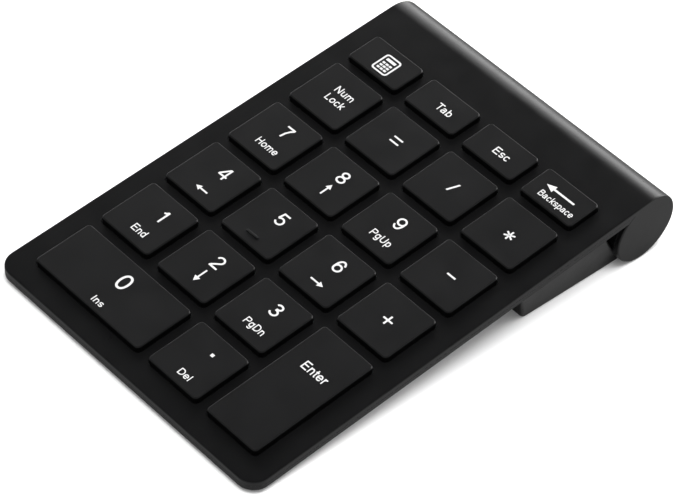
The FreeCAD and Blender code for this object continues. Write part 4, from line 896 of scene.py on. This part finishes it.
# Mirrored brightness by height above the horizon (0 level, 1 overhead).
PANEL = ((0.0, 2.2), (0.12, 3.0), (0.33, 3.2), (0.46, 1.7), (0.57, 0.5), (0.65, 0.06),
         (0.72, 0.0), (1.0, 0.0))
WALLS = ((0.0, 0.58), (0.2, 0.38), (0.45, 0.08), (0.7, 0.015), (1.0, 0.015))
PANEL_BEARING = (-0.38, 0.925, 0.0)      # the panel stands behind the object, a little left
PANEL_EDGE, PANEL_FADE = 0.25, 0.45      # bearing where it begins, and over which it brightens
TENT = 0.95                              # even light on everything that is not a mirrored ray
UNDER_LIGHT, UNDER_SLOPE = 0.75, -2.5    # light from below, and how fast it comes in


def profile(sky, height, stops, scale=1.0):
    """Piecewise linear value of height through (position, value) stops; values up to scale."""
    node = sky.add("FloatCurve", {"Value": height})
    points = node.mapping.curves[0].points
    for x, y in stops[1:-1]:
        points.new(x, y / scale)
    for point, (x, y) in zip(points, stops):
        point.location = (x, y / scale)
        point.handle_type = "VECTOR"
    node.mapping.update()
    return sky.times(node.outputs[0], scale)


def build_world():
    """An even tent for what is lit; for what is mirrored, a dark ceiling and a low panel."""
    world = bpy.data.worlds.new("studio")
    bpy.context.scene.world = world
    sky = Nodes(world, output="OutputWorld", space="Generated")
    rise = sky.add("SeparateXYZ", {0: sky.coord}).outputs["Z"]
    height = sky.math("MAXIMUM", rise, 0.0)
    # 1.0001 keeps the level part of the direction above zero straight up
    level_part = sky.math("SQRT", sky.math("SUBTRACT", 1.0001, sky.times(rise, rise)), 0.0)
    bearing = sky.math("DIVIDE", sky.dot(sky.coord, PANEL_BEARING), level_part)
    behind = sky.clamp(sky.times(sky.math("SUBTRACT", bearing, PANEL_EDGE), 1.0 / PANEL_FADE))
    mirrored = sky.math("ADD", profile(sky, height, WALLS),
                        sky.times(behind, profile(sky, height, PANEL, scale=4.0)))
    # the floor hides this light from above; it shows the underside when seen from below
    under = sky.clamp(sky.times(rise, UNDER_SLOPE))
    mirrored = sky.math("ADD", mirrored, sky.times(under, UNDER_LIGHT))
    glossy = sky.add("LightPath").outputs["Is Glossy Ray"]
    strength = sky.add("Mix", {0: glossy, 2: TENT, 3: mirrored}, data_type="FLOAT").outputs[0]
    sky.finish(sky.add("Background", {"Strength": strength, "Color": (1.0, 1.0, 1.0)}).outputs[0])


build_world()

# ---------------------------------------------------------------- light and camera

SOFTBOX_PLACE = Vector((0.16, -0.03, 1.27))
SOFTBOX_SIZE = 0.9
CAMERA_PLACE = (348.291, -276.188, 547.925)   # deck coordinates, mm
# The camera's own axes, as directions in deck coordinates.
CAMERA_RIGHT = (0.68208, 0.73097, 0.02119)
CAMERA_UP = (-0.56010, 0.50357, 0.65781)
CAMERA_BACK = (0.47017, -0.46054, 0.75289)


def add_softbox():
    """Square light overhead, aimed at the scene's origin and unseen in reflections."""
    light = bpy.data.lights.new("overhead_softbox", "AREA")
    light.shape = "RECTANGLE"
    light.size = light.size_y = SOFTBOX_SIZE
    light.energy = 20.5
    softbox = add_object("overhead_softbox", light)
    softbox.location = SOFTBOX_PLACE
    softbox.rotation_mode = "QUATERNION"
    softbox.rotation_quaternion = (-SOFTBOX_PLACE).to_track_quat("-Z", "Y")
    softbox.visible_glossy = False


def add_camera():
    lens = bpy.data.cameras.new("camera")
    camera = add_object("camera", lens)
    lens.sensor_width = 36.0
    lens.lens = 172.7957585
    lens.clip_start, lens.clip_end = 0.05, 20.0
    axes = [deck_dir(*axis) for axis in (CAMERA_RIGHT, CAMERA_UP, CAMERA_BACK)]
    pose = Matrix(axes).transposed().to_4x4()
    pose.translation = deck(*CAMERA_PLACE)
    camera.matrix_world = pose
    bpy.context.scene.camera = camera


add_softbox()
add_camera()
scene = bpy.context.scene
scene.view_settings.view_transform = "Standard"
scene.view_settings.look = "None"
scene.cycles.use_denoising = True
